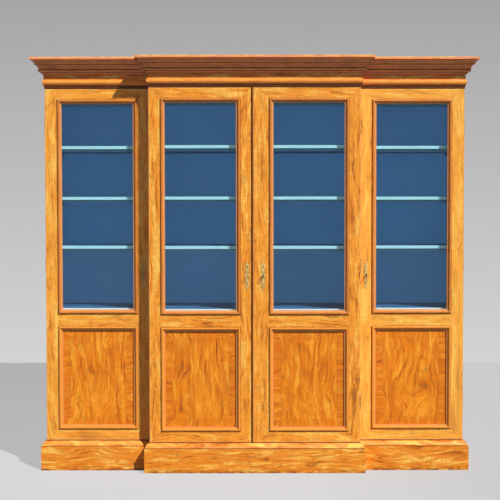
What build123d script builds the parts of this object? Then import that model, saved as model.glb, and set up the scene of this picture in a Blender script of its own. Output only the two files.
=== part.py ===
from build123d import *
from collections import namedtuple
from math import cos, sin, tau
import os

os.makedirs("parts", exist_ok=True)

# Whole case, in millimetres
case_width = 2264.0
centre_width = 1133.0
wing_depth = 370.0
break_step = 62.0
plinth_height = 160.0
door_height = 1903.0
cornice_height = 158.0
cornice_projection = 67.5

# Clearances and joints
door_clearance = 2.0
door_side_gap = 1.5
door_back_gap = 1.0
meeting_gap = 1.0
glue_line = 0.2
board_gap = 0.6
fit_play = 0.2
running_play = 0.05
slide_play = 0.3
overrun = 150.0

# Carcase boards
side_thickness = 22.0
top_thickness = 22.0
bottom_thickness = 22.0
back_thickness = 12.0
back_board_width = 135.0
top_rail_thickness = 20.0
top_rail_drop = 73.0

# Shelves, with the loose ones placed by their share of the space that they divide
shelf_thickness = 20.0
shelf_setback = 11.0
shelf_end_play = 1.0
lip_nosing = 16.0
lip_height = 31.0
lip_depth = 18.0
lip_cove = 9.0
fixed_shelf_thickness = 24.0
fixed_shelf_show = 5.0
lower_shelf_share = 0.491
upper_shelf_shares = (0.2914, 0.5193, 0.7558)

# Shelf bearers
bearer_thickness = 15.0
bearer_height = 18.0
bearer_end_inset = 24.0

# Plinth
plinth_board_height = 130.0
plinth_board_thickness = 25.0
plinth_board_projection = 27.7
plinth_bearing = 51.0
plinth_cap_projection = 24.0
plinth_cap_set_in = 2.5
plinth_fillet = 3.0
plinth_ovolo_bulge = 3.6

# Frieze and bead
frieze_projection = 4.7
frieze_thickness = 25.0
frieze_bearing = 60.0
frieze_bearer_height = 30.0
recess_projection = 2.6
bead_foot = 14.6
bead_height = 32.2
bead_swell = 6.6
dust_board_thickness = 10.0

# Cornice members, from the top down
crown_fillet = 13.5
crown_set_in = 6.0
small_cove_height = 19.5
small_cove_run = 15.5
middle_fillet = 3.0
middle_set_in = 2.2
large_cove_height = 27.0
large_cove_run = 17.0
astragal_height = 9.0
astragal_swell = 2.2
soffit_run = 12.5
soffit_rise = 3.0
bed_mould_rise = 11.0
bed_mould_run = 7.0
cove_depth_share = 0.66

# Doors
door_thickness = 28.0
wing_stile_flat = 66.0
centre_stile_flat = 62.0
meeting_line = -5.0
passive_stile_flat = 71.0
active_stile_flat = 81.0
rail_flat = 58.0
middle_rail_flat = 67.0
panel_sight_height = 514.0

# Bolection moulding, glass, panel and beads
moulding_width = 24.0
moulding_lap = 14.0
moulding_edge = 1.6
moulding_swell = 7.0
torus_width = 14.5
torus_foot = 3.4
inner_step = 1.6
inner_edge_drop = 3.0
rebate_depth = 8.0
pane_thickness = 3.0
panel_thickness = 13.0
pane_play = 1.0
bead_size = 6.5
bead_edge = 2.0

# Butt hinges
hinge_height = 76.0
hinge_inset = 170.0
hinge_leaf_width = 19.0
hinge_leaf_thickness = 2.0
hinge_leaf_play = 0.3
knuckle_radius = 3.8
knuckle_count = 3
knuckle_play = 0.15

# Locks
lock_height = 900.0
lock_backset = 35.0
active_lock_backset = 50.0
lock_tail = 22.0
lock_case_height = 64.0
lock_case_thickness = 12.0
lock_wall = 1.5
lock_bolt_height = 9.0
lock_bolt_throw = 10.0
bolt_setback = 0.3
talon_depth = 3.0
talon_width = 24.0
keyhole_radius = 3.4
keyhole_slot_width = 3.6
keyhole_slot_play = 0.6

# Keys
key_shank_radius = 2.6
key_reach = 30.0
key_bit_length = 11.5
key_bit_width = 5.0
key_bit_thickness = 2.0
key_bit_set = 1.0
key_bow_length = 19.0
key_bow_width = 25.0
key_bow_bar = 3.4
key_bow_thickness = 3.2
key_collar_radius = 4.2
key_collar_width = 2.4
key_collar_stand = 2.0

# Escutcheons
escutcheon_height = 145.0
escutcheon_thickness = 2.0
boss_width = 23.0
boss_height = 42.0
scroll_width = 19.0
scroll_height = 15.0
scroll_rise = 25.5
scroll_eye_width = 3.6
scroll_eye_height = 7.0
scroll_eye_spread = 5.0
leaf_width = 19.0
leaf_height = 40.0
leaf_eye_width = 5.0
leaf_eye_height = 15.0
tip_width = 9.6
tip_height = 10.0
neck_width = 8.0

# Flats that small round parts are given where there are many of them
small_round_sides = 12
lens_side_flats = 4

# Flush bolts and edge plates of the centre left door
flush_bolt_radius = 4.0
flush_bolt_length = 150.0
flush_bolt_inset = 13.0
flush_bolt_throw = 10.0
flush_bolt_setback = 1.0
edge_plate_thickness = 2.0
flush_plate_height = 120.0
flush_plate_width = 18.0
thumb_slot_height = 26.0
thumb_slot_width = 5.0
thumb_height = 11.0
keep_plate_height = 56.0

# Astragal down the closing edge of the centre right door
astragal_bead_width = 13.5
astragal_bead_swell = 6.6

# Places that follow from the sizes
case_floor = plinth_height
case_top = case_floor + door_height + 2 * door_clearance
overall_height = case_top + cornice_height
overall_depth = wing_depth + break_step + cornice_projection
back = overall_depth / 2
wing_face = back - wing_depth
centre_face = wing_face - break_step
side_x = case_width / 2
break_x = centre_width / 2
door_foot = case_floor + door_clearance
door_head = door_foot + door_height
panel_foot = door_foot + rail_flat + moulding_width
panel_head = panel_foot + panel_sight_height
glass_foot = panel_head + middle_rail_flat + 2 * moulding_width
glass_head = door_head - rail_flat - moulding_width
sight_margin = moulding_width - moulding_lap
front_set = door_thickness + door_back_gap
back_front = back - back_thickness
keyhole_height = case_floor + lock_height
fixed_shelf_top = glass_foot + fixed_shelf_show
lower_floor = case_floor + bottom_thickness
lower_space = fixed_shelf_top - fixed_shelf_thickness - lower_floor
upper_space = case_top - top_thickness - fixed_shelf_top
loose_shelf_tops = [lower_floor + lower_space * lower_shelf_share]
loose_shelf_tops += [fixed_shelf_top + upper_space * share for share in upper_shelf_shares]

Door = namedtuple("Door", "name left right face hinge left_flat right_flat backset lock key")
Bay = namedtuple("Bay", "name left right face")

wing_inner_edge = break_x + door_side_gap
passive_edge = meeting_line - meeting_gap / 2
active_edge = meeting_line + meeting_gap / 2
left_wing = Door("left_wing_door", -side_x, -wing_inner_edge, wing_face, -1,
                 wing_stile_flat, wing_stile_flat, lock_backset, True, False)
centre_left = Door("centre_left_door", -break_x, passive_edge, centre_face, -1,
                   centre_stile_flat, passive_stile_flat, lock_backset, False, False)
centre_right = Door("centre_right_door", active_edge, break_x, centre_face, 1,
                    active_stile_flat, centre_stile_flat, active_lock_backset, True, True)
right_wing = Door("right_wing_door", wing_inner_edge, side_x, wing_face, 1,
                  wing_stile_flat, wing_stile_flat, lock_backset, True, True)
doors = [left_wing, centre_left, centre_right, right_wing]
bays = [
    Bay("left", -side_x + side_thickness, -break_x - side_thickness, wing_face),
    Bay("centre", -break_x + side_thickness, break_x - side_thickness, centre_face),
    Bay("right", break_x + side_thickness, side_x - side_thickness, wing_face),
]

# Corners of the case from above, from the left back round the front to the right back
case_corners = [
    Vector(-side_x, back, 0),
    Vector(-side_x, wing_face, 0),
    Vector(-break_x, wing_face, 0),
    Vector(-break_x, centre_face, 0),
    Vector(break_x, centre_face, 0),
    Vector(break_x, wing_face, 0),
    Vector(side_x, wing_face, 0),
    Vector(side_x, back, 0),
]
upward = Vector(0, 0, 1)
forward = Vector(0, -1, 0)


def save(piece, name):
    """Label a finished piece and write it."""
    piece.label = name
    export_step(piece, f"parts/{name}.step")


def block(x_range, y_range, z_range, mode=Mode.ADD):
    """Add or cut a square-edged board between two opposite corners."""
    width = max(x_range) - min(x_range)
    depth = max(y_range) - min(y_range)
    with BuildSketch(Plane.XY.offset(min(z_range))) as outline:
        with Locations((sum(x_range) / 2, sum(y_range) / 2)):
            Rectangle(width, depth)
    extrude(outline.sketch, amount=max(z_range) - min(z_range), mode=mode)


def rod(start, aim, length, radius, mode=Mode.ADD):
    """Add or cut a round rod that starts at a point and runs the way it aims."""
    with BuildSketch(Plane(origin=start, z_dir=aim)) as outline:
        Circle(radius)
    extrude(outline.sketch, amount=length, mode=mode)


def flatted_rod(start, aim, length, radius, mode=Mode.ADD):
    """Add or cut a small rod with flats, its corners at the radius."""
    with BuildSketch(Plane(origin=start, z_dir=aim)) as outline:
        RegularPolygon(radius, small_round_sides)
    extrude(outline.sketch, amount=length, mode=mode)


def mitred_lengths(section, corners, rise, closed=False):
    """Lengths of one moulding that follow the corners and meet in mitres.

    The section's first axis points to the right of the run and its second is the rise.
    """
    starts = corners if closed else corners[:-1]
    ends = corners[1:] + corners[:1] if closed else corners[1:]
    aims = [(end - start).normalized() for start, end in zip(starts, ends)]
    lengths = []
    for index, (start, end, aim) in enumerate(zip(starts, ends, aims)):
        first = index == 0 and not closed
        last = index == len(aims) - 1 and not closed
        before = aim if first else aims[index - 1]
        after = aim if last else aims[(index + 1) % len(aims)]
        near = Plane(origin=start, z_dir=aim + before).offset(0 if first else glue_line / 2)
        far = Plane(origin=end, z_dir=aim + after).offset(0 if last else -glue_line / 2)
        with BuildPart() as length:
            with BuildSketch(Plane(origin=end + aim * overrun, x_dir=aim.cross(rise), z_dir=-aim)):
                add(section)
            extrude(amount=(end - start).length + 2 * overrun)
            split(bisect_by=near, keep=Keep.TOP)
            split(bisect_by=far, keep=Keep.BOTTOM)
        lengths.append(length.part)
    return lengths


def at_height(corners, height):
    """The same corners, lifted."""
    return [corner + upward * height for corner in corners]


# Plinth boards, mitred round the front and sides, with a back board and a back bearer
with BuildSketch() as plinth_section:
    with Locations((plinth_board_projection - plinth_board_thickness / 2, plinth_board_height / 2)):
        Rectangle(plinth_board_thickness, plinth_board_height)

plinth_inside = side_x + plinth_board_projection - plinth_board_thickness - glue_line
bearer_inside = side_x - plinth_bearing - glue_line
with BuildPart() as plinth_boards:
    add(mitred_lengths(plinth_section.sketch, case_corners, upward))
    block((-plinth_inside, plinth_inside), (back - plinth_board_thickness, back),
          (0, plinth_board_height - glue_line))
    block((-bearer_inside, bearer_inside), (back - plinth_board_thickness, back),
          (plinth_board_height, plinth_height))
save(plinth_boards.part, "plinth_boards")

# Plinth moulding, an ovolo on a broad flat bearer, with a socket for the bottom flush bolt
cap_height = plinth_height - plinth_board_height
cap_shoulder = cap_height - plinth_fillet
cap_middle = ((plinth_cap_projection + plinth_cap_set_in) / 2 + plinth_ovolo_bulge,
              (cap_shoulder + plinth_fillet) / 2 + plinth_ovolo_bulge)
socket_x = passive_edge - flush_bolt_inset
socket_y = centre_face + door_thickness / 2
with BuildSketch() as plinth_cap_section:
    with BuildLine():
        Polyline((plinth_cap_set_in, cap_shoulder), (plinth_cap_set_in, cap_height),
                 (-plinth_bearing, cap_height), (-plinth_bearing, 0), (plinth_cap_projection, 0),
                 (plinth_cap_projection, plinth_fillet))
        ThreePointArc((plinth_cap_projection, plinth_fillet), cap_middle, (plinth_cap_set_in, cap_shoulder))
    make_face()

with BuildPart() as plinth_moulding:
    add(mitred_lengths(plinth_cap_section.sketch, at_height(case_corners, plinth_board_height), upward))
    rod((socket_x, socket_y, case_floor), -upward, flush_bolt_throw + slide_play,
        flush_bolt_radius + slide_play, Mode.SUBTRACT)
save(plinth_moulding.part, "plinth_moulding")

# Frieze rails with a bearer foot, a plain back rail and a socket for the top flush bolt
rail_height = cornice_height - dust_board_thickness
with BuildSketch() as frieze_section:
    with BuildLine():
        Polyline((-frieze_bearing, 0), (recess_projection, 0), (recess_projection, bead_foot),
                 (frieze_projection, bead_foot), (frieze_projection, rail_height),
                 (frieze_projection - frieze_thickness, rail_height),
                 (frieze_projection - frieze_thickness, frieze_bearer_height),
                 (-frieze_bearing, frieze_bearer_height), close=True)
    make_face()

frieze_inside = side_x + frieze_projection - frieze_thickness - glue_line
frieze_foot_inside = side_x - frieze_bearing - glue_line
back_rail_step = case_top + frieze_bearer_height + glue_line
back_rail_top = case_top + rail_height
with BuildPart() as cornice_frieze:
    add(mitred_lengths(frieze_section.sketch, at_height(case_corners, case_top), upward))
    block((-frieze_inside, frieze_inside), (back - frieze_thickness, back), (back_rail_step, back_rail_top))
    block((-frieze_foot_inside, frieze_foot_inside), (back - frieze_thickness, back),
          (case_top, back_rail_step))
    rod((socket_x, socket_y, case_top), upward, flush_bolt_throw + slide_play,
        flush_bolt_radius + slide_play, Mode.SUBTRACT)
save(cornice_frieze.part, "cornice_frieze")

# Half-round bead planted on the foot of the frieze
with BuildSketch() as bead_section:
    with BuildLine():
        Line((frieze_projection, bead_foot + bead_height), (frieze_projection, bead_foot))
        ThreePointArc((frieze_projection, bead_foot),
                      (frieze_projection + bead_swell, bead_foot + bead_height / 2),
                      (frieze_projection, bead_foot + bead_height))
    make_face()

with BuildPart() as cornice_bead:
    add(mitred_lengths(bead_section.sketch, at_height(case_corners, case_top), upward))
save(cornice_bead.part, "cornice_bead")


def cove_middle(outer, inner):
    """Middle point of a hollow that runs from an outer upper point to an inner lower one."""
    run = (outer[0] - inner[0]) * cove_depth_share
    fall = (outer[1] - inner[1]) * (1 - cove_depth_share)
    return outer[0] - run, outer[1] - fall


# Cornice moulding: crown fillet, two hollows, astragal, soffit and bed mould
crown_foot = cornice_height - crown_fillet
small_cove_top = (cornice_projection - crown_set_in, crown_foot)
small_cove_foot = (small_cove_top[0] - small_cove_run, small_cove_top[1] - small_cove_height)
middle_foot = (small_cove_foot[0], small_cove_foot[1] - middle_fillet)
large_cove_top = (middle_foot[0] - middle_set_in, middle_foot[1])
large_cove_foot = (large_cove_top[0] - large_cove_run, large_cove_top[1] - large_cove_height)
astragal_foot = (large_cove_foot[0], large_cove_foot[1] - astragal_height)
astragal_middle = (astragal_foot[0] + astragal_swell, astragal_foot[1] + astragal_height / 2)
soffit_back = (astragal_foot[0] - soffit_run, astragal_foot[1] - soffit_rise)
bed_foot = (soffit_back[0] - bed_mould_run, soffit_back[1] - bed_mould_rise)
bed_middle = (bed_foot[0] + bed_mould_run * cove_depth_share,
              bed_foot[1] + bed_mould_rise * (1 - cove_depth_share))
with BuildSketch() as cornice_section:
    with BuildLine():
        Polyline(bed_foot, (frieze_projection, bed_foot[1]), (frieze_projection, cornice_height),
                 (cornice_projection, cornice_height), (cornice_projection, crown_foot), small_cove_top)
        ThreePointArc(small_cove_top, cove_middle(small_cove_top, small_cove_foot), small_cove_foot)
        Polyline(small_cove_foot, middle_foot, large_cove_top)
        ThreePointArc(large_cove_top, cove_middle(large_cove_top, large_cove_foot), large_cove_foot)
        ThreePointArc(large_cove_foot, astragal_middle, astragal_foot)
        Line(astragal_foot, soffit_back)
        ThreePointArc(soffit_back, bed_middle, bed_foot)
    make_face()

with BuildPart() as cornice_moulding:
    add(mitred_lengths(cornice_section.sketch, at_height(case_corners, case_top), upward))
save(cornice_moulding.part, "cornice_moulding")

# Dust boards on the frieze rails, one over each carcase
dust_reach = frieze_projection - glue_line
dust_z = (overall_height - dust_board_thickness, overall_height)
dust_wing_x = (break_x + dust_reach + board_gap, side_x + dust_reach)
with BuildPart() as cornice_dust_boards:
    block([-x for x in dust_wing_x], (wing_face - dust_reach, back), dust_z)
    block((-break_x - dust_reach, break_x + dust_reach), (centre_face - dust_reach, back), dust_z)
    block(dust_wing_x, (wing_face - dust_reach, back), dust_z)
save(cornice_dust_boards.part, "cornice_dust_boards")


def hinge_heights():
    """Foot of each hinge: near both ends of the door and halfway."""
    low = door_foot + hinge_inset
    high = door_head - hinge_inset - hinge_height
    return [low, (low + high) / 2, high]


def hinge_axis(door):
    """Place of a door's hinge axis, beside the case and level with the joint behind the door."""
    outer = door.left if door.hinge < 0 else door.right
    return outer + door.hinge * (knuckle_radius + fit_play), door.face + door_thickness + door_back_gap / 2


def leaf_ranges(door, way):
    """Width and depth of a hinge leaf, in front of the axis when way is -1, behind it when 1."""
    outer = door.left if door.hinge < 0 else door.right
    y = hinge_axis(door)[1] + way * hinge_leaf_play / 2
    return (outer, outer - door.hinge * hinge_leaf_width), (y, y + way * hinge_leaf_thickness)


def cut_leaf_rebates(door, way):
    """Cut the rebates that one set of hinge leaves lies in."""
    x_range, y_range = leaf_ranges(door, way)
    for foot in hinge_heights():
        block((x_range[0] + door.hinge * overrun, x_range[1] - door.hinge * fit_play),
              (y_range[0] - way * overrun, y_range[1] + way * fit_play),
              (foot - fit_play, foot + hinge_height + fit_play), Mode.SUBTRACT)


def hinge_leaf(door, foot, way):
    """One hinge leaf with its own share of the knuckles."""
    axis_x, axis_y = hinge_axis(door)
    x_range, y_range = leaf_ranges(door, way)
    pitch = hinge_height / knuckle_count
    with BuildPart() as leaf:
        block(x_range, y_range, (foot, foot + hinge_height))
        for index in range(knuckle_count):
            if (index % 2 == 0) == (way > 0):
                low = foot + index * pitch + knuckle_play / 2
                high = foot + (index + 1) * pitch - knuckle_play / 2
                block((axis_x, x_range[1]), y_range, (low, high))
                flatted_rod((axis_x, axis_y, low), upward, high - low, knuckle_radius)
    return leaf.part


def lock_place(door):
    """Closing edge, way towards it from the key, and place of the key axis."""
    edge = door.right if door.hinge < 0 else door.left
    return edge, -door.hinge, edge + door.hinge * door.backset


# Places inside the locks, with depths measured back from the door face
lock_front = door_thickness - lock_case_thickness
lock_middle = door_thickness - lock_case_thickness / 2
lock_bolt_thickness = lock_case_thickness - 2 * lock_wall - 2 * running_play
lock_bolt_foot = keyhole_height + key_bit_length - talon_depth
lock_z = (keyhole_height - lock_case_height / 2, keyhole_height + lock_case_height / 2)


def around(middle, size, play=0.0):
    """A range of some size about its middle, widened by the play at both ends."""
    return middle - size / 2 - play, middle + size / 2 + play


def cut_bolt_mortise(surface, aim, face):
    """Cut the mortise that a lock bolt is thrown into."""
    block((surface, surface + aim * (lock_bolt_throw + slide_play)),
          around(face + lock_middle, lock_bolt_thickness, slide_play),
          (lock_bolt_foot - slide_play, lock_bolt_foot + lock_bolt_height + slide_play), Mode.SUBTRACT)


def cut_keyhole(x, y_range):
    """Cut a round hole with a slot below it, from one depth back to another."""
    slot = key_bit_length + keyhole_slot_play
    flatted_rod((x, y_range[0], keyhole_height), -forward, y_range[1] - y_range[0], keyhole_radius,
                Mode.SUBTRACT)
    block(around(x, keyhole_slot_width), y_range, (keyhole_height - slot, keyhole_height), Mode.SUBTRACT)


# Carcase sides, let in for the hinges and mortised for the wing locks
Side = namedtuple("Side", "name outer inner face hinged locked")
sides = [
    Side("left_outer_side", -side_x, -side_x + side_thickness, wing_face, left_wing, None),
    Side("left_inner_side", -break_x, -break_x - side_thickness, wing_face, None, None),
    Side("centre_left_side", -break_x, -break_x + side_thickness, centre_face, centre_left, left_wing),
    Side("centre_right_side", break_x, break_x - side_thickness, centre_face, centre_right, right_wing),
    Side("right_inner_side", break_x, break_x + side_thickness, wing_face, None, None),
    Side("right_outer_side", side_x, side_x - side_thickness, wing_face, right_wing, None),
]
for board in sides:
    with BuildPart() as side:
        block((board.outer, board.inner), (board.face + front_set, back), (case_floor, case_top))
        if board.hinged:
            cut_leaf_rebates(board.hinged, 1)
        if board.locked:
            cut_bolt_mortise(board.outer, -board.locked.hinge, board.locked.face)
    save(side.part, board.name)

# Tops with a front rail under each, and bottoms, between the carcase sides
top_foot = case_top - top_thickness
with BuildPart() as case_tops:
    for bay in bays:
        front = bay.face + front_set
        block((bay.left, bay.right), (front, back_front), (top_foot, case_top))
        block((bay.left, bay.right), (front, front + top_rail_thickness),
              (top_foot - top_rail_drop, top_foot - glue_line))
save(case_tops.part, "case_tops")

with BuildPart() as case_bottoms:
    for bay in bays:
        block((bay.left, bay.right), (bay.face + front_set, back_front),
              (case_floor, case_floor + bottom_thickness))
save(case_bottoms.part, "case_bottoms")

# Upright back boards, an even number of widths to each carcase
with BuildPart() as back_boards:
    for bay in bays:
        count = round((bay.right - bay.left) / back_board_width)
        pitch = (bay.right - bay.left + board_gap) / count
        for index in range(count):
            start = bay.left + index * pitch
            block((start, start + pitch - board_gap), (back_front, back), (case_floor, case_top))
save(back_boards.part, "back_boards")


def loose_shelf(bay, top):
    """A loose shelf with a nosing and a hollow under its front edge."""
    front = bay.face + front_set + shelf_setback
    rear = back_front - shelf_end_play
    nosing_foot = (-front, top - lip_nosing)
    hollow_foot = (-front - lip_cove, top - lip_height)
    with BuildPart() as shelf:
        with BuildSketch(Plane(origin=(bay.left + shelf_end_play, 0, 0), x_dir=(0, -1, 0), z_dir=(-1, 0, 0))):
            with BuildLine():
                Polyline(hollow_foot, (-front - lip_depth, top - lip_height),
                         (-front - lip_depth, top - shelf_thickness), (-rear, top - shelf_thickness),
                         (-rear, top), (-front, top), nosing_foot)
                ThreePointArc(nosing_foot, cove_middle(nosing_foot, hollow_foot), hollow_foot)
            make_face()
        extrude(amount=shelf_end_play + shelf_end_play + bay.left - bay.right)
    return shelf.part


# Shelves: one fixed behind the middle rail of the doors, four loose ones on bearers
for bay in bays:
    with BuildPart() as shelves:
        block((bay.left, bay.right), (bay.face + front_set, back_front),
              (fixed_shelf_top - fixed_shelf_thickness, fixed_shelf_top))
        add([loose_shelf(bay, top) for top in loose_shelf_tops])
    save(shelves.part, f"{bay.name}_shelves")

with BuildPart() as shelf_bearers:
    for bay in bays:
        y_range = (bay.face + front_set + shelf_setback + bearer_end_inset, back_front - bearer_end_inset)
        for top in loose_shelf_tops:
            z_range = (top - shelf_thickness - bearer_height, top - shelf_thickness)
            block((bay.left, bay.left + bearer_thickness), y_range, z_range)
            block((bay.right - bearer_thickness, bay.right), y_range, z_range)
save(shelf_bearers.part, "shelf_bearers")

# Hinge leaves let into the case
with BuildPart() as hinge_case_leaves:
    for door in doors:
        add([hinge_leaf(door, foot, 1) for foot in hinge_heights()])
save(hinge_case_leaves.part, "hinge_case_leaves")


def sight_range(door):
    """Left and right edges of what shows between a door's mouldings."""
    return door.left + door.left_flat + moulding_width, door.right - door.right_flat - moulding_width


def loop(x_range, z_range, face, margin):
    """Corners of an upright rectangle, widened by a margin, in the order the mouldings run."""
    left, right = x_range[0] - margin, x_range[1] + margin
    low, high = z_range[0] - margin, z_range[1] + margin
    return [Vector(right, face, low), Vector(left, face, low),
            Vector(left, face, high), Vector(right, face, high)]


panel_z = (panel_foot, panel_head)
glass_z = (glass_foot, glass_head)

# Moulding round the panels and panes: a torus on the frame, a step, and a bevel let into the frame
torus_middle = (torus_width / 2, moulding_swell)
step_foot = (torus_width, torus_foot - inner_step)
inner_edge = (moulding_width, -inner_edge_drop)
with BuildSketch() as bolection_section:
    with BuildLine():
        ThreePointArc((0, moulding_edge), torus_middle, (torus_width, torus_foot))
        Line((torus_width, torus_foot), step_foot)
        Polyline(step_foot, inner_edge, (moulding_width, -rebate_depth), (moulding_lap + glue_line, -rebate_depth),
                 (moulding_lap + glue_line, 0), (0, 0), (0, moulding_edge))
    make_face()


def bead_loop(door, z_range, seat):
    """Bevelled beads behind a pane or panel, whose back lies at the seat."""
    with BuildSketch() as section:
        with BuildLine():
            Polyline((0, -seat), (bead_size, -seat), (bead_size, -seat - bead_edge),
                     (bead_edge, -seat - bead_size), (0, -seat - bead_size), close=True)
        make_face()
    return mitred_lengths(section.sketch, loop(sight_range(door), z_range, door.face, sight_margin),
                          forward, closed=True)


def sheet(door, z_range, thickness):
    """A pane or panel in its rebate behind the moulding."""
    margin = sight_margin - pane_play
    x_range = sight_range(door)
    with BuildPart() as piece:
        block((x_range[0] - margin, x_range[1] + margin),
              (door.face + rebate_depth, door.face + rebate_depth + thickness),
              (z_range[0] - margin, z_range[1] + margin))
    return piece.part


# Flush bolts of the centre left door: way 1 for the top one, way -1 for the bottom one
flush_ends = {1: door_head - flush_bolt_setback, -1: door_foot + flush_bolt_setback}


def thumb_middle(way):
    """Height of the middle of the thumb slot of a flush bolt."""
    return flush_ends[way] - way * (flush_bolt_length - (thumb_height + flush_bolt_throw) / 2)


keep_middle = lock_bolt_foot + lock_bolt_height / 2
keep_y = (centre_face + door_thickness - flush_plate_width, centre_face + door_thickness)
plate_x = (passive_edge - edge_plate_thickness, passive_edge)
slot_y = around(socket_y, thumb_slot_width)


def door_frame(door):
    """Stiles and rails of one door, let in for its hinges, lock and bolts."""
    stile_left = door.left + door.left_flat + moulding_lap
    stile_right = door.right - door.right_flat - moulding_lap
    rail_x = (stile_left + glue_line, stile_right - glue_line)
    y_range = (door.face, door.face + door_thickness)
    with BuildPart() as frame:
        block((door.left, stile_left), y_range, (door_foot, door_head))
        block((stile_right, door.right), y_range, (door_foot, door_head))
        block(rail_x, y_range, (door_foot, panel_foot - sight_margin))
        block(rail_x, y_range, (panel_head + sight_margin, glass_foot - sight_margin))
        block(rail_x, y_range, (glass_head + sight_margin, door_head))
        cut_leaf_rebates(door, -1)
        if door.lock:
            edge, aim, key_x = lock_place(door)
            block((edge + aim * overrun, key_x - aim * (lock_tail + fit_play)),
                  (door.face + lock_front - fit_play, door.face + overrun),
                  (lock_z[0] - fit_play, lock_z[1] + fit_play), Mode.SUBTRACT)
            cut_keyhole(key_x, (door.face, door.face + lock_front))
        else:
            for way, end in flush_ends.items():
                rod((socket_x, socket_y, end - way * (flush_bolt_length + slide_play)), upward * way,
                    overrun + flush_bolt_length, flush_bolt_radius + running_play, Mode.SUBTRACT)
                block((socket_x, passive_edge), slot_y, around(thumb_middle(way), thumb_slot_height),
                      Mode.SUBTRACT)
                block(plate_x, around(socket_y, flush_plate_width, fit_play),
                      around(thumb_middle(way), flush_plate_height, fit_play), Mode.SUBTRACT)
            cut_bolt_mortise(passive_edge, -1, centre_face)
            block(plate_x, (keep_y[0] - fit_play, keep_y[1]), around(keep_middle, keep_plate_height, fit_play),
                  Mode.SUBTRACT)
    return frame.part


def door_mouldings(door):
    """Mitred mouldings round the panel and the glass, and the astragal of the centre right door."""
    x_range = sight_range(door)
    with BuildPart() as mouldings:
        for z_range in (panel_z, glass_z):
            corners = loop(x_range, z_range, door.face, moulding_width)
            add(mitred_lengths(bolection_section.sketch, corners, forward, closed=True))
        if door is centre_right:
            far_edge = active_edge + astragal_bead_width
            with BuildSketch(Plane.XY.offset(door_foot)) as astragal:
                with BuildLine():
                    Line((far_edge, centre_face), (active_edge, centre_face))
                    ThreePointArc((active_edge, centre_face),
                                  ((active_edge + far_edge) / 2, centre_face - astragal_bead_swell),
                                  (far_edge, centre_face))
                make_face()
            extrude(astragal.sketch, amount=door_height)
    return mouldings.part


def lock_case(door):
    """Hollow lock case with a keyhole and a bolt slot."""
    edge, aim, key_x = lock_place(door)
    tail_x = key_x - aim * lock_tail
    y_range = (door.face + lock_front, door.face + door_thickness)
    inside_y = (y_range[0] + lock_wall, y_range[1] - lock_wall)
    with BuildPart() as case:
        block((edge, tail_x), y_range, lock_z)
        block((edge - aim * lock_wall, tail_x + aim * lock_wall), inside_y,
              (lock_z[0] + lock_wall, lock_z[1] - lock_wall), Mode.SUBTRACT)
        cut_keyhole(key_x, (y_range[0], inside_y[0]))
        block((edge, edge - aim * lock_wall), around(door.face + lock_middle, lock_bolt_thickness, running_play),
              (lock_bolt_foot - running_play, lock_bolt_foot + lock_bolt_height + running_play),
              Mode.SUBTRACT)
    return case.part


def lock_bolt(door):
    """Lock bolt, drawn back, with the notch that the key's bit turns in."""
    edge, aim, key_x = lock_place(door)
    rear = key_x - aim * (lock_tail - lock_wall - slide_play)
    y_range = around(door.face + lock_middle, lock_bolt_thickness)
    with BuildPart() as bolt:
        block((edge - aim * bolt_setback, rear), y_range, (lock_bolt_foot, lock_bolt_foot + lock_bolt_height))
        block(around(key_x - aim * lock_bolt_throw / 2, talon_width), y_range,
              (lock_bolt_foot, lock_bolt_foot + talon_depth + slide_play), Mode.SUBTRACT)
    return bolt.part


def oval(width, height, mode=Mode.ADD):
    """An oval of flats, drawn about its middle."""
    turns = [index * tau / small_round_sides for index in range(small_round_sides)]
    Polygon(*[(width / 2 * cos(turn), height / 2 * sin(turn)) for turn in turns], align=None, mode=mode)


def key(door):
    """Key in its lock: bow, collar, shank and bit."""
    key_x = lock_place(door)[2]
    tip = door.face + door_thickness - lock_wall - slide_play
    bow_middle = door.face - key_reach + key_bow_length / 2
    shank_end = bow_middle + key_bow_length / 2 - key_bow_bar / 2
    collar_y = door.face - escutcheon_thickness - key_collar_stand
    with BuildPart() as piece:
        flatted_rod((key_x, tip, keyhole_height), forward, tip - shank_end, key_shank_radius)
        flatted_rod((key_x, collar_y, keyhole_height), forward, key_collar_width, key_collar_radius)
        block(around(key_x, key_bit_thickness), (tip - key_bit_set - key_bit_width, tip - key_bit_set),
              (keyhole_height - key_bit_length, keyhole_height))
        with BuildSketch(Plane.YZ.offset(key_x)) as bow:
            with Locations((bow_middle, keyhole_height)):
                oval(key_bow_length, key_bow_width)
                oval(key_bow_length - 2 * key_bow_bar, key_bow_width - 2 * key_bow_bar, Mode.SUBTRACT)
        extrude(bow.sketch, amount=key_bow_thickness / 2, both=True)
    return piece.part


def lens(x, z, width, height, mode=Mode.ADD):
    """A pointed oval from two arcs, each divided into flats, drawn about its middle."""
    side = Edge.make_three_point_arc((0, -height / 2), (width / 2, 0), (0, height / 2))
    points = [side @ (index / lens_side_flats) for index in range(lens_side_flats)]
    corners = [(point.X, point.Y) for point in points] + [(-point.X, -point.Y) for point in points]
    with Locations((x, z)):
        Polygon(*corners, align=None, mode=mode)


def diamond(x, z, width, height, mode=Mode.ADD):
    """An upright lozenge, drawn about its middle."""
    with Locations((x, z)):
        Polygon((0, -height / 2), (width / 2, 0), (0, height / 2), (-width / 2, 0), align=None, mode=mode)


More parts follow.
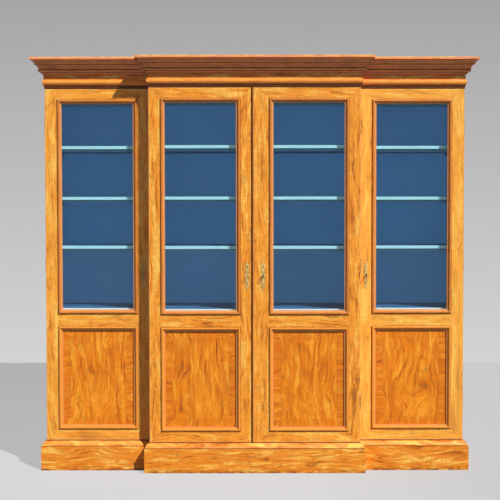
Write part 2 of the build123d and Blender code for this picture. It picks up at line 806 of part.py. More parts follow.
def escutcheon(door):
    """Pierced plate with an oval boss, paired scrolls, leaves and tips above and below it."""
    middle_x = lock_place(door)[2]
    tip_z = (escutcheon_height - tip_height) / 2
    leaf_z = tip_z - leaf_height / 2
    ends = (-1, 1)
    with BuildSketch() as outline:
        Rectangle(neck_width, 2 * tip_z)
        lens(0, 0, boss_width, boss_height)
        for end in ends:
            lens(0, end * scroll_rise, scroll_width, scroll_height)
            lens(0, end * leaf_z, leaf_width, leaf_height)
            diamond(0, end * tip_z, tip_width, tip_height)
            diamond(0, end * leaf_z, leaf_eye_width, leaf_eye_height, Mode.SUBTRACT)
            for side in ends:
                diamond(side * scroll_eye_spread, end * scroll_rise, scroll_eye_width, scroll_eye_height,
                        Mode.SUBTRACT)
    with BuildPart() as plate:
        with BuildSketch(Plane(origin=(middle_x, door.face, keyhole_height), x_dir=(1, 0, 0), z_dir=forward)):
            add(outline.sketch)
        extrude(amount=escutcheon_thickness)
        cut_keyhole(middle_x, (door.face - escutcheon_thickness, door.face))
    return plate.part


# Pieces of the four doors
for door in doors:
    save(door_frame(door), f"{door.name}_frame")
    save(door_mouldings(door), f"{door.name}_mouldings")
    save(sheet(door, glass_z, pane_thickness), f"{door.name}_glass")
    save(sheet(door, panel_z, panel_thickness), f"{door.name}_panel")
    with BuildPart() as beads:
        add(bead_loop(door, glass_z, rebate_depth + pane_thickness))
        add(bead_loop(door, panel_z, rebate_depth + panel_thickness))
    save(beads.part, f"{door.name}_beads")
    with BuildPart() as hinge_leaves:
        add([hinge_leaf(door, foot, -1) for foot in hinge_heights()])
    save(hinge_leaves.part, f"{door.name}_hinge_leaves")
    save(escutcheon(door), f"{door.name}_escutcheon")

# Locks, their bolts and the two keys
for door in doors:
    short_name = door.name.removesuffix("_door")
    if door.lock:
        save(lock_case(door), f"{door.name}_lock")
        save(lock_bolt(door), f"{short_name}_lock_bolt")
    if door.key:
        save(key(door), f"{short_name}_key")

# Flush bolts of the centre left door, drawn back, each with its thumb piece
for name, way in (("centre_left_top_bolt", 1), ("centre_left_bottom_bolt", -1)):
    inner_end = flush_ends[way] - way * flush_bolt_length
    with BuildPart() as flush_bolt:
        rod((socket_x, socket_y, inner_end), upward * way, flush_bolt_length, flush_bolt_radius)
        block((socket_x, passive_edge - slide_play), around(socket_y, thumb_slot_width, -slide_play),
              (inner_end, inner_end + way * thumb_height))
    save(flush_bolt.part, name)

# Plates let into the closing edge of the centre left door: two for the bolts, one for the lock
with BuildPart() as edge_plates:
    for way in flush_ends:
        block(plate_x, around(socket_y, flush_plate_width), around(thumb_middle(way), flush_plate_height))
        block(plate_x, slot_y, around(thumb_middle(way), thumb_slot_height), Mode.SUBTRACT)
    block(plate_x, keep_y, around(keep_middle, keep_plate_height))
    cut_bolt_mortise(passive_edge, -1, centre_face)
save(edge_plates.part, "centre_left_door_edge_plates")
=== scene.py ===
import math

import bpy
import numpy as np
from bpy.props import FloatProperty, FloatVectorProperty, PointerProperty
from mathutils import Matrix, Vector


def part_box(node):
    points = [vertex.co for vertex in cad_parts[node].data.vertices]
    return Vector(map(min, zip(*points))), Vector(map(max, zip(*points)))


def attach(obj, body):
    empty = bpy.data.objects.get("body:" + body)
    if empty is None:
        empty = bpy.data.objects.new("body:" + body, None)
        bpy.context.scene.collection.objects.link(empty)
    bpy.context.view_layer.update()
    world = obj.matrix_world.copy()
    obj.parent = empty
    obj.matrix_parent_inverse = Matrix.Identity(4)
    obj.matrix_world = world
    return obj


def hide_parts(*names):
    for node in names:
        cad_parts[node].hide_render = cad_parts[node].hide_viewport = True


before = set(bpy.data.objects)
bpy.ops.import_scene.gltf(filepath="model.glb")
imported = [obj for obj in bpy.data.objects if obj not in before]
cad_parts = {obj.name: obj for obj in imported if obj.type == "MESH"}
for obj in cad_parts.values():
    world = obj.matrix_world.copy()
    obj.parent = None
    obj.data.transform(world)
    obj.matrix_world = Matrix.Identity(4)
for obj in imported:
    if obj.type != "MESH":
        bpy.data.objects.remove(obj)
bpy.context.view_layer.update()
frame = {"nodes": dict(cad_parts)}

bl_info = {
    "name": "Breakfront Bookcase Finish",
    "version": (1, 0, 0),
    "blender": (4, 5, 0),
    "location": "View3D > Sidebar > Bookcase",
    "description": "Polish, paint, glass, brasswork and stage of a breakfront glazed bookcase",
    "category": "Object",
}

DOORS = ("left_wing_door", "centre_left_door", "centre_right_door", "right_wing_door")
SHELVES = ("left_shelves", "centre_shelves", "right_shelves")
BRASS_ENDS = ("_hinge_leaves", "hinge_case_leaves", "_lock", "_edge_plates", "_lock_bolt")
PALENESS = {"left_wing_door": 0.18, "centre_left_door": 0.06, "centre_right_door": 0.08, "right_wing_door": 0.34}
FRONT = (0.0, -1.0, 0.0)
BACK = (0.0, 1.0, 0.0)
UP = (0.0, 0.0, 1.0)
WHITE = (1.0, 1.0, 1.0)
MM = 0.001

# Sizes on the doors and the case, in metres
GLASS_LAP = 0.009
MOULDING_WIDTH = 0.024
CORNICE_HEIGHT = 0.158
HINGE_LENGTH = 0.076
HINGE_SCREWS = ((0.14, 0.0125), (0.5, 0.0075), (0.86, 0.0125))
BOARD_GAP = 0.001
NOSING_SET_BACK = 0.011
NOSING_DEPTH = 0.0172
TOP_RAIL = 0.0221

# Widths of painted or drawn marks, in metres
ARRIS = 0.0022
BANDING = 0.04
JOINT_LINE = 0.0009
PAINT_EDGE = 0.0006
NOSING_EDGE = 0.0008
MEETING_SHADE = (0.0135, 0.0105, 0.012)
ASTRAGAL_SHADE = 0.0053

# Back boards: where the wings start, where their boards start, half the centre, and the boards' widths
WING_START = 0.5665
WING_BOARDS_START = 0.5885
CENTRE_HALF = 0.5445
WING_BOARD = 0.13053
CENTRE_BOARD = 0.136204

# Which side of each carcase side's box, low or high in X, shows inside the case
PAINTED_SIDES = {"left_outer_side": 1, "left_inner_side": 0, "centre_left_side": 1,
                 "centre_right_side": 0, "right_inner_side": 1, "right_outer_side": 0}

# Lines along the cornice, painted shade in its hollows and painted highlights on its ridges: the height of the
# nearest point, a shift and half a width in mm, and a strength
CORNICE_SHADE_LINES = ((72.0, 0.0, 3.6, 0.9), (83.0, 3.0, 5.0, 0.9), (95.0, 0.5, 4.2, 0.95),
                   (122.0, 0.5, 4.4, 0.95), (144.4, -1.0, 5.6, 0.95))
CORNICE_HIGHLIGHT_LINES = ((157.0, 0.0, 4.0, 0.9), (125.0, 2.0, 3.0, 0.75), (86.2, 5.0, 3.4, 0.7))

# Points of the door moulding's section: the last of its torus, and one on its lip
TORUS_END = 17
LIP_POINT = -5

# Length added to the grain's place at each mitre, so that the figure doesn't run on round the corner
GRAIN_JUMP = 0.37

LAMP_DISTANCE = 8.0


def srgb(red, green, blue):
    """Linear colour of a display colour given in 0 to 255."""
    values = np.array([red, green, blue]) / 255.0
    linear = np.where(values <= 0.04045, values / 12.92, ((values + 0.055) / 1.055) ** 2.4)
    return tuple(float(value) for value in linear)


def opaque(colour):
    """The same colour with an alpha of one, as the nodes take it."""
    return (*tuple(colour)[:3], 1.0)


def dimmed(colour, share):
    """A colour times a number."""
    return [value * share for value in colour]


def box_middle(box, axis):
    """Middle of a box along one axis."""
    return (box[0][axis] + box[1][axis]) / 2


# Settings


def colour_property(name, description, red, green, blue):
    """A colour that the user can set, with its default given in 0 to 255."""
    return FloatVectorProperty(name=name, description=description, subtype="COLOR", size=3,
                               min=0.0, max=1.0, default=srgb(red, green, blue))


def angle_property(name, description, degrees):
    """An angle that the user can set, with its default given in degrees."""
    return FloatProperty(name=name, description=description, subtype="ANGLE", unit="ROTATION",
                         default=math.radians(degrees))


def length_property(name, description, metres):
    """A length that the user can set."""
    return FloatProperty(name=name, description=description, subtype="DISTANCE", unit="LENGTH",
                         min=0.0, default=metres)


def strength_property(name, description, strength):
    """The strength of a lamp, which the user can set."""
    return FloatProperty(name=name, description=description, min=0.0, default=strength)


class BookcaseWoodSettings(bpy.types.PropertyGroup):
    """Colours of the polished and bare wood, and of the painted shade and highlights on it"""

    # Also the colour of the painted highlights on the cornice's ridges and along the upper part of the cornice bead
    pale: colour_property("Pale Figure", "Palest wood in the flame figure", 255, 200, 92)
    gold: colour_property("Gold Figure", "Main colour of the polished wood", 250, 160, 48)
    amber: colour_property("Amber Figure", "Deeper bands of the polished wood", 222, 124, 30)
    umber: colour_property("Umber Figure", "Darkest streaks of the polished wood", 148, 80, 28)
    panel_pale: colour_property("Pale Panel", "Palest wood of the panels", 252, 170, 48)
    panel: colour_property("Panel Veneer", "Main colour of the panel veneer", 236, 132, 20)
    panel_deep: colour_property("Deep Panel", "Deeper bands of the panel veneer", 200, 100, 14)
    # Worn polish with a painted highlight: the pale band along each door's front edges, and the default colour of
    # the highlight lines on the mouldings
    arris_wear_highlight: colour_property("Door Arris", "Worn polish along the edges of each door", 222, 158, 108)
    moulding: colour_property("Moulding", "Bolection mouldings and the astragal", 194, 114, 50)
    sight: colour_property("Sight Moulding", "Hollow of the mouldings next to the glass", 214, 146, 88)
    base: colour_property("Plinth Moulding", "Cap over the plinth", 236, 152, 72)
    plinth: colour_property("Plinth", "Main colour of the plinth boards", 240, 146, 40)
    # Painted shade, with some dirt: this dark colour goes in the mouldings' quirks and round them on the door
    # frames, on the astragal's left side and down the meeting stile, under the cornice bead and in the plinth
    # moulding
    quirk: colour_property("Moulding Quirk", "Dark polish in the hollows of the mouldings", 74, 32, 14)
    cornice: colour_property("Cornice", "Cornice members", 236, 144, 100)
    # Painted shade: the dark colour of the shadow lines in the cornice's hollows
    cornice_shade: colour_property("Cornice Hollows", "Dark polish in the cornice", 96, 46, 28)
    bead: colour_property("Cornice Bead", "Half-round bead under the frieze", 234, 138, 60)
    bare: colour_property("Bare Wood", "Unpolished boards at the back, top and bottom", 150, 116, 82)


class BookcasePaintSettings(bpy.types.PropertyGroup):
    """Colours of the painted inside, with paler copies of the paint that stand for light on the shelf edges"""

    inside: colour_property("Inside", "Paint on the sides, back and shelves", 62, 114, 160)
    # Painted highlights: the shelf edge and the fixed shelf edge are paler copies of the inside paint, standing for
    # the light that falls on them
    edge: colour_property("Shelf Edge", "Paint on the front edges of the shelves", 172, 226, 236)
    under: colour_property("Under Edge", "Paint in the hollow under the shelf edges", 66, 124, 150)
    sill_highlight: colour_property("Fixed Shelf Edge", "Paint on the front of the fixed shelves", 214, 236, 242)


class BookcaseMetalSettings(bpy.types.PropertyGroup):
    """Colours and sizes of the brasswork and keys"""

    brass: colour_property("Brass", "Polished face of the brass", 252, 224, 146)
    tarnish: colour_property("Tarnish", "Dull brass in the hollows", 156, 118, 58)
    iron: colour_property("Key Iron", "Face of the iron keys", 84, 56, 42)
    steel: colour_property("Bolt Steel", "Face of the steel bolts", 150, 146, 140)
    screw_radius: length_property("Screw Head", "Radius of a hinge screw's head", 0.0031)
    relief: length_property("Escutcheon Relief", "Thickness of the scrolls on the escutcheons", 0.0009)


class BookcaseStageSettings(bpy.types.PropertyGroup):
    """Camera, floor and lamps"""

    lens: FloatProperty(name="Lens", description="Focal length on a 36 mm sensor", subtype="DISTANCE_CAMERA",
                        unit="CAMERA", min=10.0, default=69.84)
    camera_place: FloatVectorProperty(name="Camera Place", description="Where the camera stands",
                                      subtype="TRANSLATION", unit="LENGTH", size=3,
                                      default=(-0.029, -5.372, 1.363))
    camera_fall: angle_property("Camera Fall", "How far the camera looks down", 1.83)
    key_turn: angle_property("Key Turn", "How far to the right the key lamp stands", 45.5)
    key_rise: angle_property("Key Rise", "How high the key lamp stands", 47.0)
    key_softness: angle_property("Key Softness", "Angle that the key lamp fills", 0.9)
    key_strength: strength_property("Key Strength", "Strength of the key lamp", 5.5)
    floor_turn: angle_property("Floor Turn", "How far to the right the floor's lamp stands", 39.0)
    floor_rise: angle_property("Floor Rise", "How high the floor's lamp stands", 25.9)
    floor_strength: strength_property("Floor Strength", "Strength of the floor's lamp", 7.7)
    fill_strength: strength_property("Fill Strength", "Strength of the lamps at the left and behind", 1.3)
    front_strength: strength_property("Front Strength", "Strength of the lamp over the camera", 0.2)
    inside_strength: strength_property("Inside Strength", "Strength of the lamp on the back boards", 1.5)
    shelf_strength: strength_property("Shelf Strength", "Strength of the lamp on the shelves", 0.35)
    ambient: strength_property("Ambient", "Strength of the light from all round", 0.06)
    wall_place: length_property("Wall Place", "How far the wall stands behind the bookcase", 3.81)
    floor: colour_property("Floor", "Plain pale floor", 222, 222, 222)
    wall_foot: colour_property("Wall Foot", "Plain wall near the floor", 212, 211, 211)
    wall_head: colour_property("Wall Head", "Plain wall near the ceiling", 167, 165, 166)
    studio: colour_property("Studio", "What lies beyond the floor and wall", 200, 200, 201)
    studio_front: colour_property("Studio Front", "What lies behind the camera", 126, 126, 128)


# Node sheets


def math_node(operation, swapped=False):
    """A method that adds a Math node on a signal and another value, in the other order when swapped."""
    def method(self, other=0.0):
        return self.sheet.math(operation, *((other, self) if swapped else (self, other)))
    return method


class Signal:
    """One output of a node. Sums and comparisons on it add Math nodes to its sheet."""

    def __init__(self, sheet, socket):
        self.sheet, self.socket = sheet, socket

    __add__ = math_node("ADD")
    __sub__ = math_node("SUBTRACT")
    __rsub__ = math_node("SUBTRACT", swapped=True)
    __mul__ = math_node("MULTIPLY")
    __truediv__ = math_node("DIVIDE")
    __gt__ = math_node("GREATER_THAN")
    __lt__ = math_node("LESS_THAN")
    __abs__ = math_node("ABSOLUTE")


class Sheet:
    """Adds nodes to one tree and joins them."""

    def __init__(self, tree):
        self.tree = tree
        self.count = 0

    def feed(self, socket, value):
        """Link a signal to a socket, or set the socket's own value."""
        if isinstance(value, Signal):
            self.tree.links.new(value.socket, socket)
        else:
            socket.default_value = opaque(value) if socket.type == "RGBA" else value

    def add(self, kind, inputs=None, **settings):
        """A node with its settings and inputs."""
        node = self.tree.nodes.new(kind)
        node.location = (self.count * 40, -(self.count % 7) * 160)
        self.count += 1
        for name, value in settings.items():
            setattr(node, name, value)
        for name, value in (inputs or {}).items():
            self.feed(node.inputs[name], value)
        return node

    def out(self, kind, inputs=None, output=0, **settings):
        """One output of a new node."""
        return Signal(self, self.add(kind, inputs, **settings).outputs[output])

    def outs(self, node):
        """Every output of a node by its name."""
        return {socket.name: Signal(self, socket) for socket in node.outputs}

    def math(self, operation, first, second=0.0, clamp=False):
        """One sum on numbers."""
        return self.out("ShaderNodeMath", {0: first, 1: second}, operation=operation, use_clamp=clamp)

    def greater(self, first, second):
        """The greater of two numbers."""
        return self.math("MAXIMUM", first, second)

    def distance(self, first, second):
        """Distance from zero to a place given by two lengths at right angles."""
        return self.math("SQRT", first * first + second * second)

    def apart(self, vector):
        """The X, Y and Z of a vector."""
        return self.outs(self.add("ShaderNodeSeparateXYZ", {0: vector})).values()

    def join(self, x, y, z):
        """A vector from X, Y and Z."""
        return self.out("ShaderNodeCombineXYZ", {0: x, 1: y, 2: z})

    def noise(self, vector, scale, detail=3.0, roughness=0.5, distortion=0.0):
        """Noise on a stretched vector, from about 0.25 to 0.75."""
        stretched = self.out("ShaderNodeVectorMath", {0: vector, 1: scale}, operation="MULTIPLY")
        return self.out("ShaderNodeTexNoise", {"Vector": stretched, "Scale": 1.0, "Detail": detail,
                                               "Roughness": roughness, "Distortion": distortion})

    def chance(self, number):
        """A random number from 0 to 1 for each number."""
        return self.out("ShaderNodeTexWhiteNoise", {"W": number}, "Value", noise_dimensions="1D")

    def spread(self, value, low, high):
        """The value from low to high spread smoothly over 0 to 1."""
        return self.out("ShaderNodeMapRange", {"Value": value, "From Min": low, "From Max": high},
                        interpolation_type="SMOOTHSTEP")

    def fade(self, value, low, high):
        """The value from low to high faded smoothly from 1 to 0."""
        return 1.0 - self.spread(value, low, high)

    def between(self, factor, first, second):
        """A number between two numbers."""
        return self.out("ShaderNodeMix", {0: factor, 2: first, 3: second}, data_type="FLOAT")

    def mix(self, factor, first, second, blend="MIX"):
        """A colour between two colours."""
        return self.out("ShaderNodeMix", {0: factor, 6: first, 7: second}, 2, data_type="RGBA", blend_type=blend)

    def mix_shader(self, factor, first, second):
        """A surface between two surfaces."""
        return self.out("ShaderNodeMixShader", {0: factor, 1: first, 2: second})

    def ramp(self, factor, stops):
        """A colour ramp through places and colours."""
        node = self.add("ShaderNodeValToRGB", {0: factor})
        elements = node.color_ramp.elements
        while len(elements) < len(stops):
            elements.new(1.0)
        for element, (place, colour) in zip(elements, stops):
            element.position = place
            element.color = opaque(colour)
        return Signal(self, node.outputs[0])

    def ray(self, kind):
        """1 for rays of one kind."""
        return self.out("ShaderNodeLightPath", None, f"Is {kind} Ray")

    def seen_ray(self):
        """1 for rays that show a surface to the camera, by itself or in metal or glass."""
        return self.greater(self.ray("Camera"), self.greater(self.ray("Glossy"), self.ray("Transmission")))

    def group(self, work, values):
        """The outputs of a shared node group, which is built the first time it is asked for."""
        tree = bpy.data.node_groups.get(work.__name__) or group_tree(work)
        return self.outs(self.add("ShaderNodeGroup", values, node_tree=tree))


def group_tree(work):
    """A node group that works numbers out from a vector and numbers, whose defaults are the work's own."""
    tree = bpy.data.node_groups.new(work.__name__, "ShaderNodeTree")
    tree.interface.new_socket("Vector", in_out="INPUT", socket_type="NodeSocketVector")
    for name, default in GROUP_INPUTS[work].items():
        tree.interface.new_socket(name, in_out="INPUT", socket_type="NodeSocketFloat").default_value = default
    sheet = Sheet(tree)
    results = work(sheet, sheet.outs(sheet.add("NodeGroupInput")))
    for name in results:
        tree.interface.new_socket(name, in_out="OUTPUT", socket_type="NodeSocketFloat")
    sheet.add("NodeGroupOutput", results)
    return tree


def wood_figure(sheet, given):
    """Figure, mottle, patches, streaks, ripple and pores of wood with its grain along Z, or along X at Turn 1.

    The place is bent by a slow noise, and each output is noise on that place, drawn out along the grain.
    """
    x, y, z = sheet.apart(given["Vector"])
    shift = given["Seed"] * 3.7
    side = sheet.between(given["Turn"], x, z) + shift
    length = sheet.between(given["Turn"], z, x) + shift
    placed = sheet.join(side, y, length)
    bend = sheet.noise(placed, (5.0, 5.0, 2.2), detail=2.0)
    quiver = sheet.noise(placed, (22.0, 22.0, 9.0), detail=2.0)
    sway = (bend - 0.5) * 4.0 + (quiver - 0.5)
    bent = sheet.join(side + sway * given["Wander"], y, length)
    return {name: sheet.spread(sheet.noise(bent, *noise), low, high) for name, noise, low, high in (
        ("Figure", ((46.0, 46.0, 6.0), 5.0, 0.62, 0.5), 0.3, 0.7),
        ("Mottle", ((120.0, 120.0, 54.0), 4.0, 0.6, 0.8), 0.48, 0.7),
        ("Patch", ((30.0, 30.0, 13.0), 4.0, 0.6, 0.9), 0.57, 0.7),
        ("Streak", ((170.0, 170.0, 9.0), 3.0, 0.6), 0.46, 0.68),
        ("Ripple", ((18.0, 18.0, 130.0), 3.0, 0.55), 0.44, 0.68),
        ("Pores", ((1500.0, 1500.0, 90.0), 1.0), 0.55, 0.75))}


def rectangle_reach(sheet, given):
    """How far a place lies outside an upright rectangle, across, upwards and the greater of both."""
    x, _, z = sheet.apart(given["Vector"])
    across = abs(x - given["Centre X"]) - given["Half Width"]
    up = abs(z - given["Centre Z"]) - given["Half Height"]
    return {"Across": across, "Up": up, "Reach": sheet.greater(across, up)}


def patina(sheet, given):
    """Handled and dusty places: a slow cloud for the roughness, and small dark specks."""
    cloud = sheet.noise(given["Vector"], (6.0, 6.0, 6.0), detail=4.0, roughness=0.6)
    specks = sheet.noise(given["Vector"], (210.0, 210.0, 210.0), detail=1.0)
    return {"Roughness": sheet.between(sheet.spread(cloud, 0.35, 0.65), given["Low"], given["High"]),
            "Specks": sheet.spread(specks, 0.68, 0.74)}


GROUP_INPUTS = {
    wood_figure: {"Turn": 0.0, "Seed": 0.0, "Wander": 0.02},
    rectangle_reach: {"Centre X": 0.0, "Centre Z": 0.0, "Half Width": 0.1, "Half Height": 0.1},
    patina: {"Low": 0.25, "High": 0.45},
}


# Shapes


def arc(start, middle, end, count=12):
    """Points on the circle through three points, turned evenly from the first to the last."""
    first, second, third = (complex(*point) for point in (start, middle, end))
    lean = (third - first) / (second - first)
    centre = first + (second - first) * (lean - abs(lean) ** 2) / (2j * lean.imag)
    full = 2 * math.pi
    turn = np.angle((third - centre) / (first - centre)) % full
    if np.angle((second - centre) / (first - centre)) % full > turn:
        turn -= full
    points = centre + (first - centre) * np.exp(1j * turn * np.linspace(0.0, 1.0, count + 1))
    return [(float(point.real), float(point.imag)) for point in points]


def outline(*parts):
    """One list of points from points and lists of points, without repeats, given in millimetres."""
    points = []
    for part in parts:
        for point in (part if isinstance(part, list) else [part]):
            if not points or math.dist(points[-1], point) > 1e-6:
                points.append(point)
    return np.array(points) * MM


def run_lengths(points, closed=False):
    """Length along a line of points, from its start to each of them, and back to the start when closed."""
    if closed:
        points = np.concatenate([points, points[:1]])
    steps = np.linalg.norm(np.diff(points, axis=0), axis=1)
    return np.concatenate([[0.0], np.cumsum(steps)])


def quads(index):
    """Corners of each square of neighbours in a grid of anything."""
    corners = [index[:-1, :-1], index[:-1, 1:], index[1:, 1:], index[1:, :-1]]
    return np.stack(corners, axis=2).reshape((-1, 4) + index.shape[2:])


def circle(sides):
    """The cosines and sines of a full turn in even steps, as columns."""
    turn = np.arange(sides) * 2 * math.pi / sides
    return np.cos(turn)[:, None], np.sin(turn)[:, None]


class Shape:
    """Grids of points with their faces, gathered for one mesh."""

    def __init__(self):
        self.points, self.faces, self.places, self.count = [], [], [], 0

    def grid(self, points, u, v, around=False):
        """A closed tube of points, whose rows are rings, or a loop of rings when around is set.

        Each face joins four neighbours, both ends are filled unless the rings close on themselves,
        and all faces are turned over when the volume inside them comes out below nothing.
        """
        rows, columns = points.shape[:2]
        index = np.arange(rows * columns).reshape(rows, columns)
        index = np.concatenate([index, index[:, :1]], axis=1)
        if around:
            index = np.concatenate([index, index[:1]])
        corners = quads(index)
        flat = points.reshape(-1, 3)
        first, second, third, fourth = (flat[corners[:, corner]] for corner in range(4))
        volume = np.sum(first * np.cross(second, third)) + np.sum(first * np.cross(third, fourth))
        faces = corners.tolist()
        places = quads(np.stack(np.meshgrid(v, u), axis=2)[:, :, ::-1]).tolist()
        if not around:
            for end, start in ((index[0, :-1][::-1], u[0]), (index[-1, :-1], u[-1])):
                fan = flat[end]
                volume += np.sum(fan[0] * np.cross(fan[1:-1], fan[2:]))
                faces.append(end.tolist())
                places.append(np.stack([np.full(columns, start), v[:-1]], axis=1).tolist())
        way = -1 if volume < 0 else 1
        self.faces += [[corner + self.count for corner in face[::way]] for face in faces]
        self.places += [face[::way] for face in places]
        self.points.append(flat)
        self.count += len(flat)

    def piece(self, name, body, slot, material, sharp=32.0, replaced=None):
        """Make the object, smooth but for edges sharper than an angle, and tie it to its body."""
        mesh = bpy.data.meshes.new(name)
        mesh.from_pydata(np.concatenate(self.points).tolist(), [], self.faces)
        layer = mesh.uv_layers.new(name="along_across")
        layer.data.foreach_set("uv", np.array([place for face in self.places for place in face]).ravel())
        mesh.polygons.foreach_set("use_smooth", np.ones(len(mesh.polygons), dtype=bool))
        mesh.set_sharp_from_angle(angle=math.radians(sharp))
        mesh.materials.append(material)
        piece = bpy.data.objects.new(name, mesh)
        bpy.context.scene.collection.objects.link(piece)
        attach(piece, body)
        if replaced:
            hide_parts(replaced)


def carry(shape, section, corners, rise, closed=False, glue=0.0001):
    """Carry a closed section along straight runs that meet in mitres, with a little glue between them.

    A point of the section (out, up) lands at corner + out * mitre + up * rise. The mitre is the sum of
    both runs' sideways directions over one plus their product, so that each run keeps its width.
    """
    corners, rise = np.array(corners, dtype=float), np.array(rise, dtype=float)
    starts = corners if closed else corners[:-1]
    ends = np.roll(corners, -1, axis=0) if closed else corners[1:]
    runs = np.linalg.norm(ends - starts, axis=1)
    aims = (ends - starts) / runs[:, None]
    sideways = np.cross(aims, rise)
    across = run_lengths(section, closed=True)
    last = len(starts) - 1
    length = 0.0
    for index, aim in enumerate(aims):
        near = sideways[index - 1] if closed or index else sideways[index]
        far = sideways[(index + 1) % len(starts)] if closed or index < last else sideways[index]
        rows = []
        for corner, other, pull in ((starts[index], near, glue), (ends[index], far, -glue)):
            mitre = (sideways[index] + other) / (1.0 + sideways[index] @ other)
            rows.append(corner + aim * pull + section[:, :1] * mitre + section[:, 1:] * rise)
        shape.grid(np.array(rows), np.array([length, length + float(runs[index])]), across)
        length += float(runs[index]) + GRAIN_JUMP


def tube(shape, path, radius, side, sides=10, around=False):
    """A round rod along a path in one plane: centre + radius * (cos t across + sin t side).

    Across is at right angles to the path and to the side, which is the plane's own direction.
    """
    radius = np.broadcast_to(radius, len(path))
    side = np.array(side)
    heading = np.roll(path, -1, axis=0) - np.roll(path, 1, axis=0) if around else np.gradient(path, axis=0)
    heading /= np.linalg.norm(heading, axis=1)[:, None]
    cosines, sines = circle(sides)
    rings = cosines[None] * np.cross(heading, side)[:, None] + sines[None] * side[None, None]
    points = path[:, None] + radius[:, None, None] * rings
    shape.grid(points, run_lengths(path, around), np.linspace(0.0, 1.0, sides + 1), around)


def turned(shape, foot, aim, stations, sides=24, spin=0.0):
    """A turned form: at each station (distance, radius) a circle of that radius round the aim.

    Its map holds the place on the circle, turned by the spin, so a slot can be drawn across a head.
    """
    aim, foot, stations = np.array(aim), np.array(foot), np.array(stations)
    first = np.array([aim[2], aim[0], aim[1]])
    cosines, sines = circle(sides)
    ring = cosines * first + sines * np.cross(aim, first)
    points = foot + stations[:, 0][:, None, None] * aim + stations[:, 1][:, None, None] * ring
    before, offset = len(shape.places), shape.count
    shape.grid(points, stations[:, 0], np.linspace(0.0, 1.0, sides + 1))
    across = math.cos(spin) * first + math.sin(spin) * np.cross(aim, first)
    flat = points.reshape(-1, 3) - foot
    spots = np.stack([flat @ across, flat @ np.cross(aim, across)], axis=1)
    for index in range(before, len(shape.places)):
        shape.places[index] = [spots[corner - offset].tolist() for corner in shape.faces[index]]


def flat_bar(shape, section, middle, aim, rise, thickness):
    """A flat piece: its section (along, up) stands on both faces, half a thickness either side."""
    aim, rise = np.array(aim), np.array(rise)
    through = np.cross(aim, rise) * thickness / 2
    face = np.array(middle) + section[:, :1] * aim + section[:, 1:] * rise
    shape.grid(np.array([face - through, face + through]), np.array([0.0, thickness]),
               run_lengths(section, closed=True))


# Places on the case


def case_corners(height):
    """Corners of the case seen from above, from the left back round the front to the right back."""
    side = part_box("right_outer_side")[1][0]
    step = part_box("centre_right_side")[1][0]
    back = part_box("back_boards")[1][1]
    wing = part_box("right_wing_door_frame")[0][1]
    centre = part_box("centre_right_door_frame")[0][1]
    left = [(-side, back), (-side, wing), (-step, wing), (-step, centre)]
    return [(x, y, height) for x, y in left + [(-x, y) for x, y in reversed(left)]]


def key_place(door):
    """Middle of a door's escutcheon, on its front face."""
    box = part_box(f"{door}_escutcheon")
    return box_middle(box, 0), box[0][1], box_middle(box, 2)


def door_sight(door):
    """Left, right, foot and head of a door's glass and of its panel, as they show between the mouldings."""
    places = {}
    for piece in ("glass", "panel"):
        low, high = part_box(f"{door}_{piece}")
        places[piece] = (low[0] + GLASS_LAP, high[0] - GLASS_LAP, low[2] + GLASS_LAP, high[2] - GLASS_LAP)
    return places


def hinge_places(door):
    """Edge of the door, way that its hinges face, axis depth and the foot of each hinge."""
    leaves = low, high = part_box(f"{door}_hinge_leaves")
    frame_low, frame_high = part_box(f"{door}_frame")
    way = -1.0 if low[0] < frame_low[0] else 1.0
    edge = frame_low[0] if way < 0 else frame_high[0]
    feet = (low[2], box_middle(leaves, 2) - HINGE_LENGTH / 2, high[2] - HINGE_LENGTH)
    return edge, way, box_middle(leaves, 1), feet


def back_gaps():
    """Middle of each gap between two back boards, from the places where their mesh stands upright."""
    mesh = frame["nodes"]["back_boards"].data
    flat = np.empty(len(mesh.vertices) * 3)
    mesh.vertices.foreach_get("co", flat)
    edges = np.unique(np.round(flat.reshape(-1, 3)[:, 0], 5))
    near = np.flatnonzero(np.diff(edges) < BOARD_GAP)
    return (edges[near] + edges[near + 1]) / 2


# Sections, in millimetres until outline brings them to metres


def cornice_section():
    """Cornice section as points (out, up) from the top of the case.

    From the foot up: bed mould, soffit, astragal, large hollow, fillet, small hollow and crown.
    """
    bed = arc((14.3, 83.0), (11.9, 75.8), (7.3, 72.0), 10)[::-1]
    astragal = arc((26.8, 95.0), (29.0, 90.5), (26.8, 86.0), 12)[::-1]
    large = arc((43.8, 122.0), (32.6, 112.8), (26.8, 95.0), 18)[::-1]
    small = arc((61.5, 144.5), (51.3, 137.9), (46.0, 125.0), 16)[::-1]
    crown = arc((67.5, 157.0), (67.2, 157.7), (66.5, 158.0), 4)
    return outline(bed, (26.3, 85.6), astragal, large, (43.8, 122.0), (46.0, 122.0), small,
                   (61.5, 144.5), (67.0, 144.5), (67.5, 145.0), crown, (4.7, 158.0), (4.7, 72.0))


def bolection_section():
    """Door moulding section as points (in, forward) from its outer edge on the face of the frame.

    A short fillet, a torus, a quirk, a hollow down to a small lip at the sight edge, and the rebate.
    """
    torus = arc((0.0, 1.6), (7.25, 7.0), (14.5, 3.4), 16)
    hollow = arc((15.4, 1.7), (18.6, -0.9), (22.2, -1.9), 8)
    lip = arc((22.2, -1.9), (23.5, -1.7), (24.0, -3.0), 6)
    return outline((0.0, 0.0), torus, (14.5, 1.8), hollow, lip, (24.0, -8.0), (14.2, -8.0), (14.2, 0.0))


def bead_section():
    """Cornice bead as points (out, up): a half round with a short quirk above and below."""
    swell = arc((4.7, 15.6), (11.3, 30.7), (4.7, 45.8), 20)
    return outline((4.7, 14.6), (5.6, 14.8), (5.6, 15.3), swell[1:-1], (5.6, 46.1), (5.6, 46.6), (4.7, 46.8))


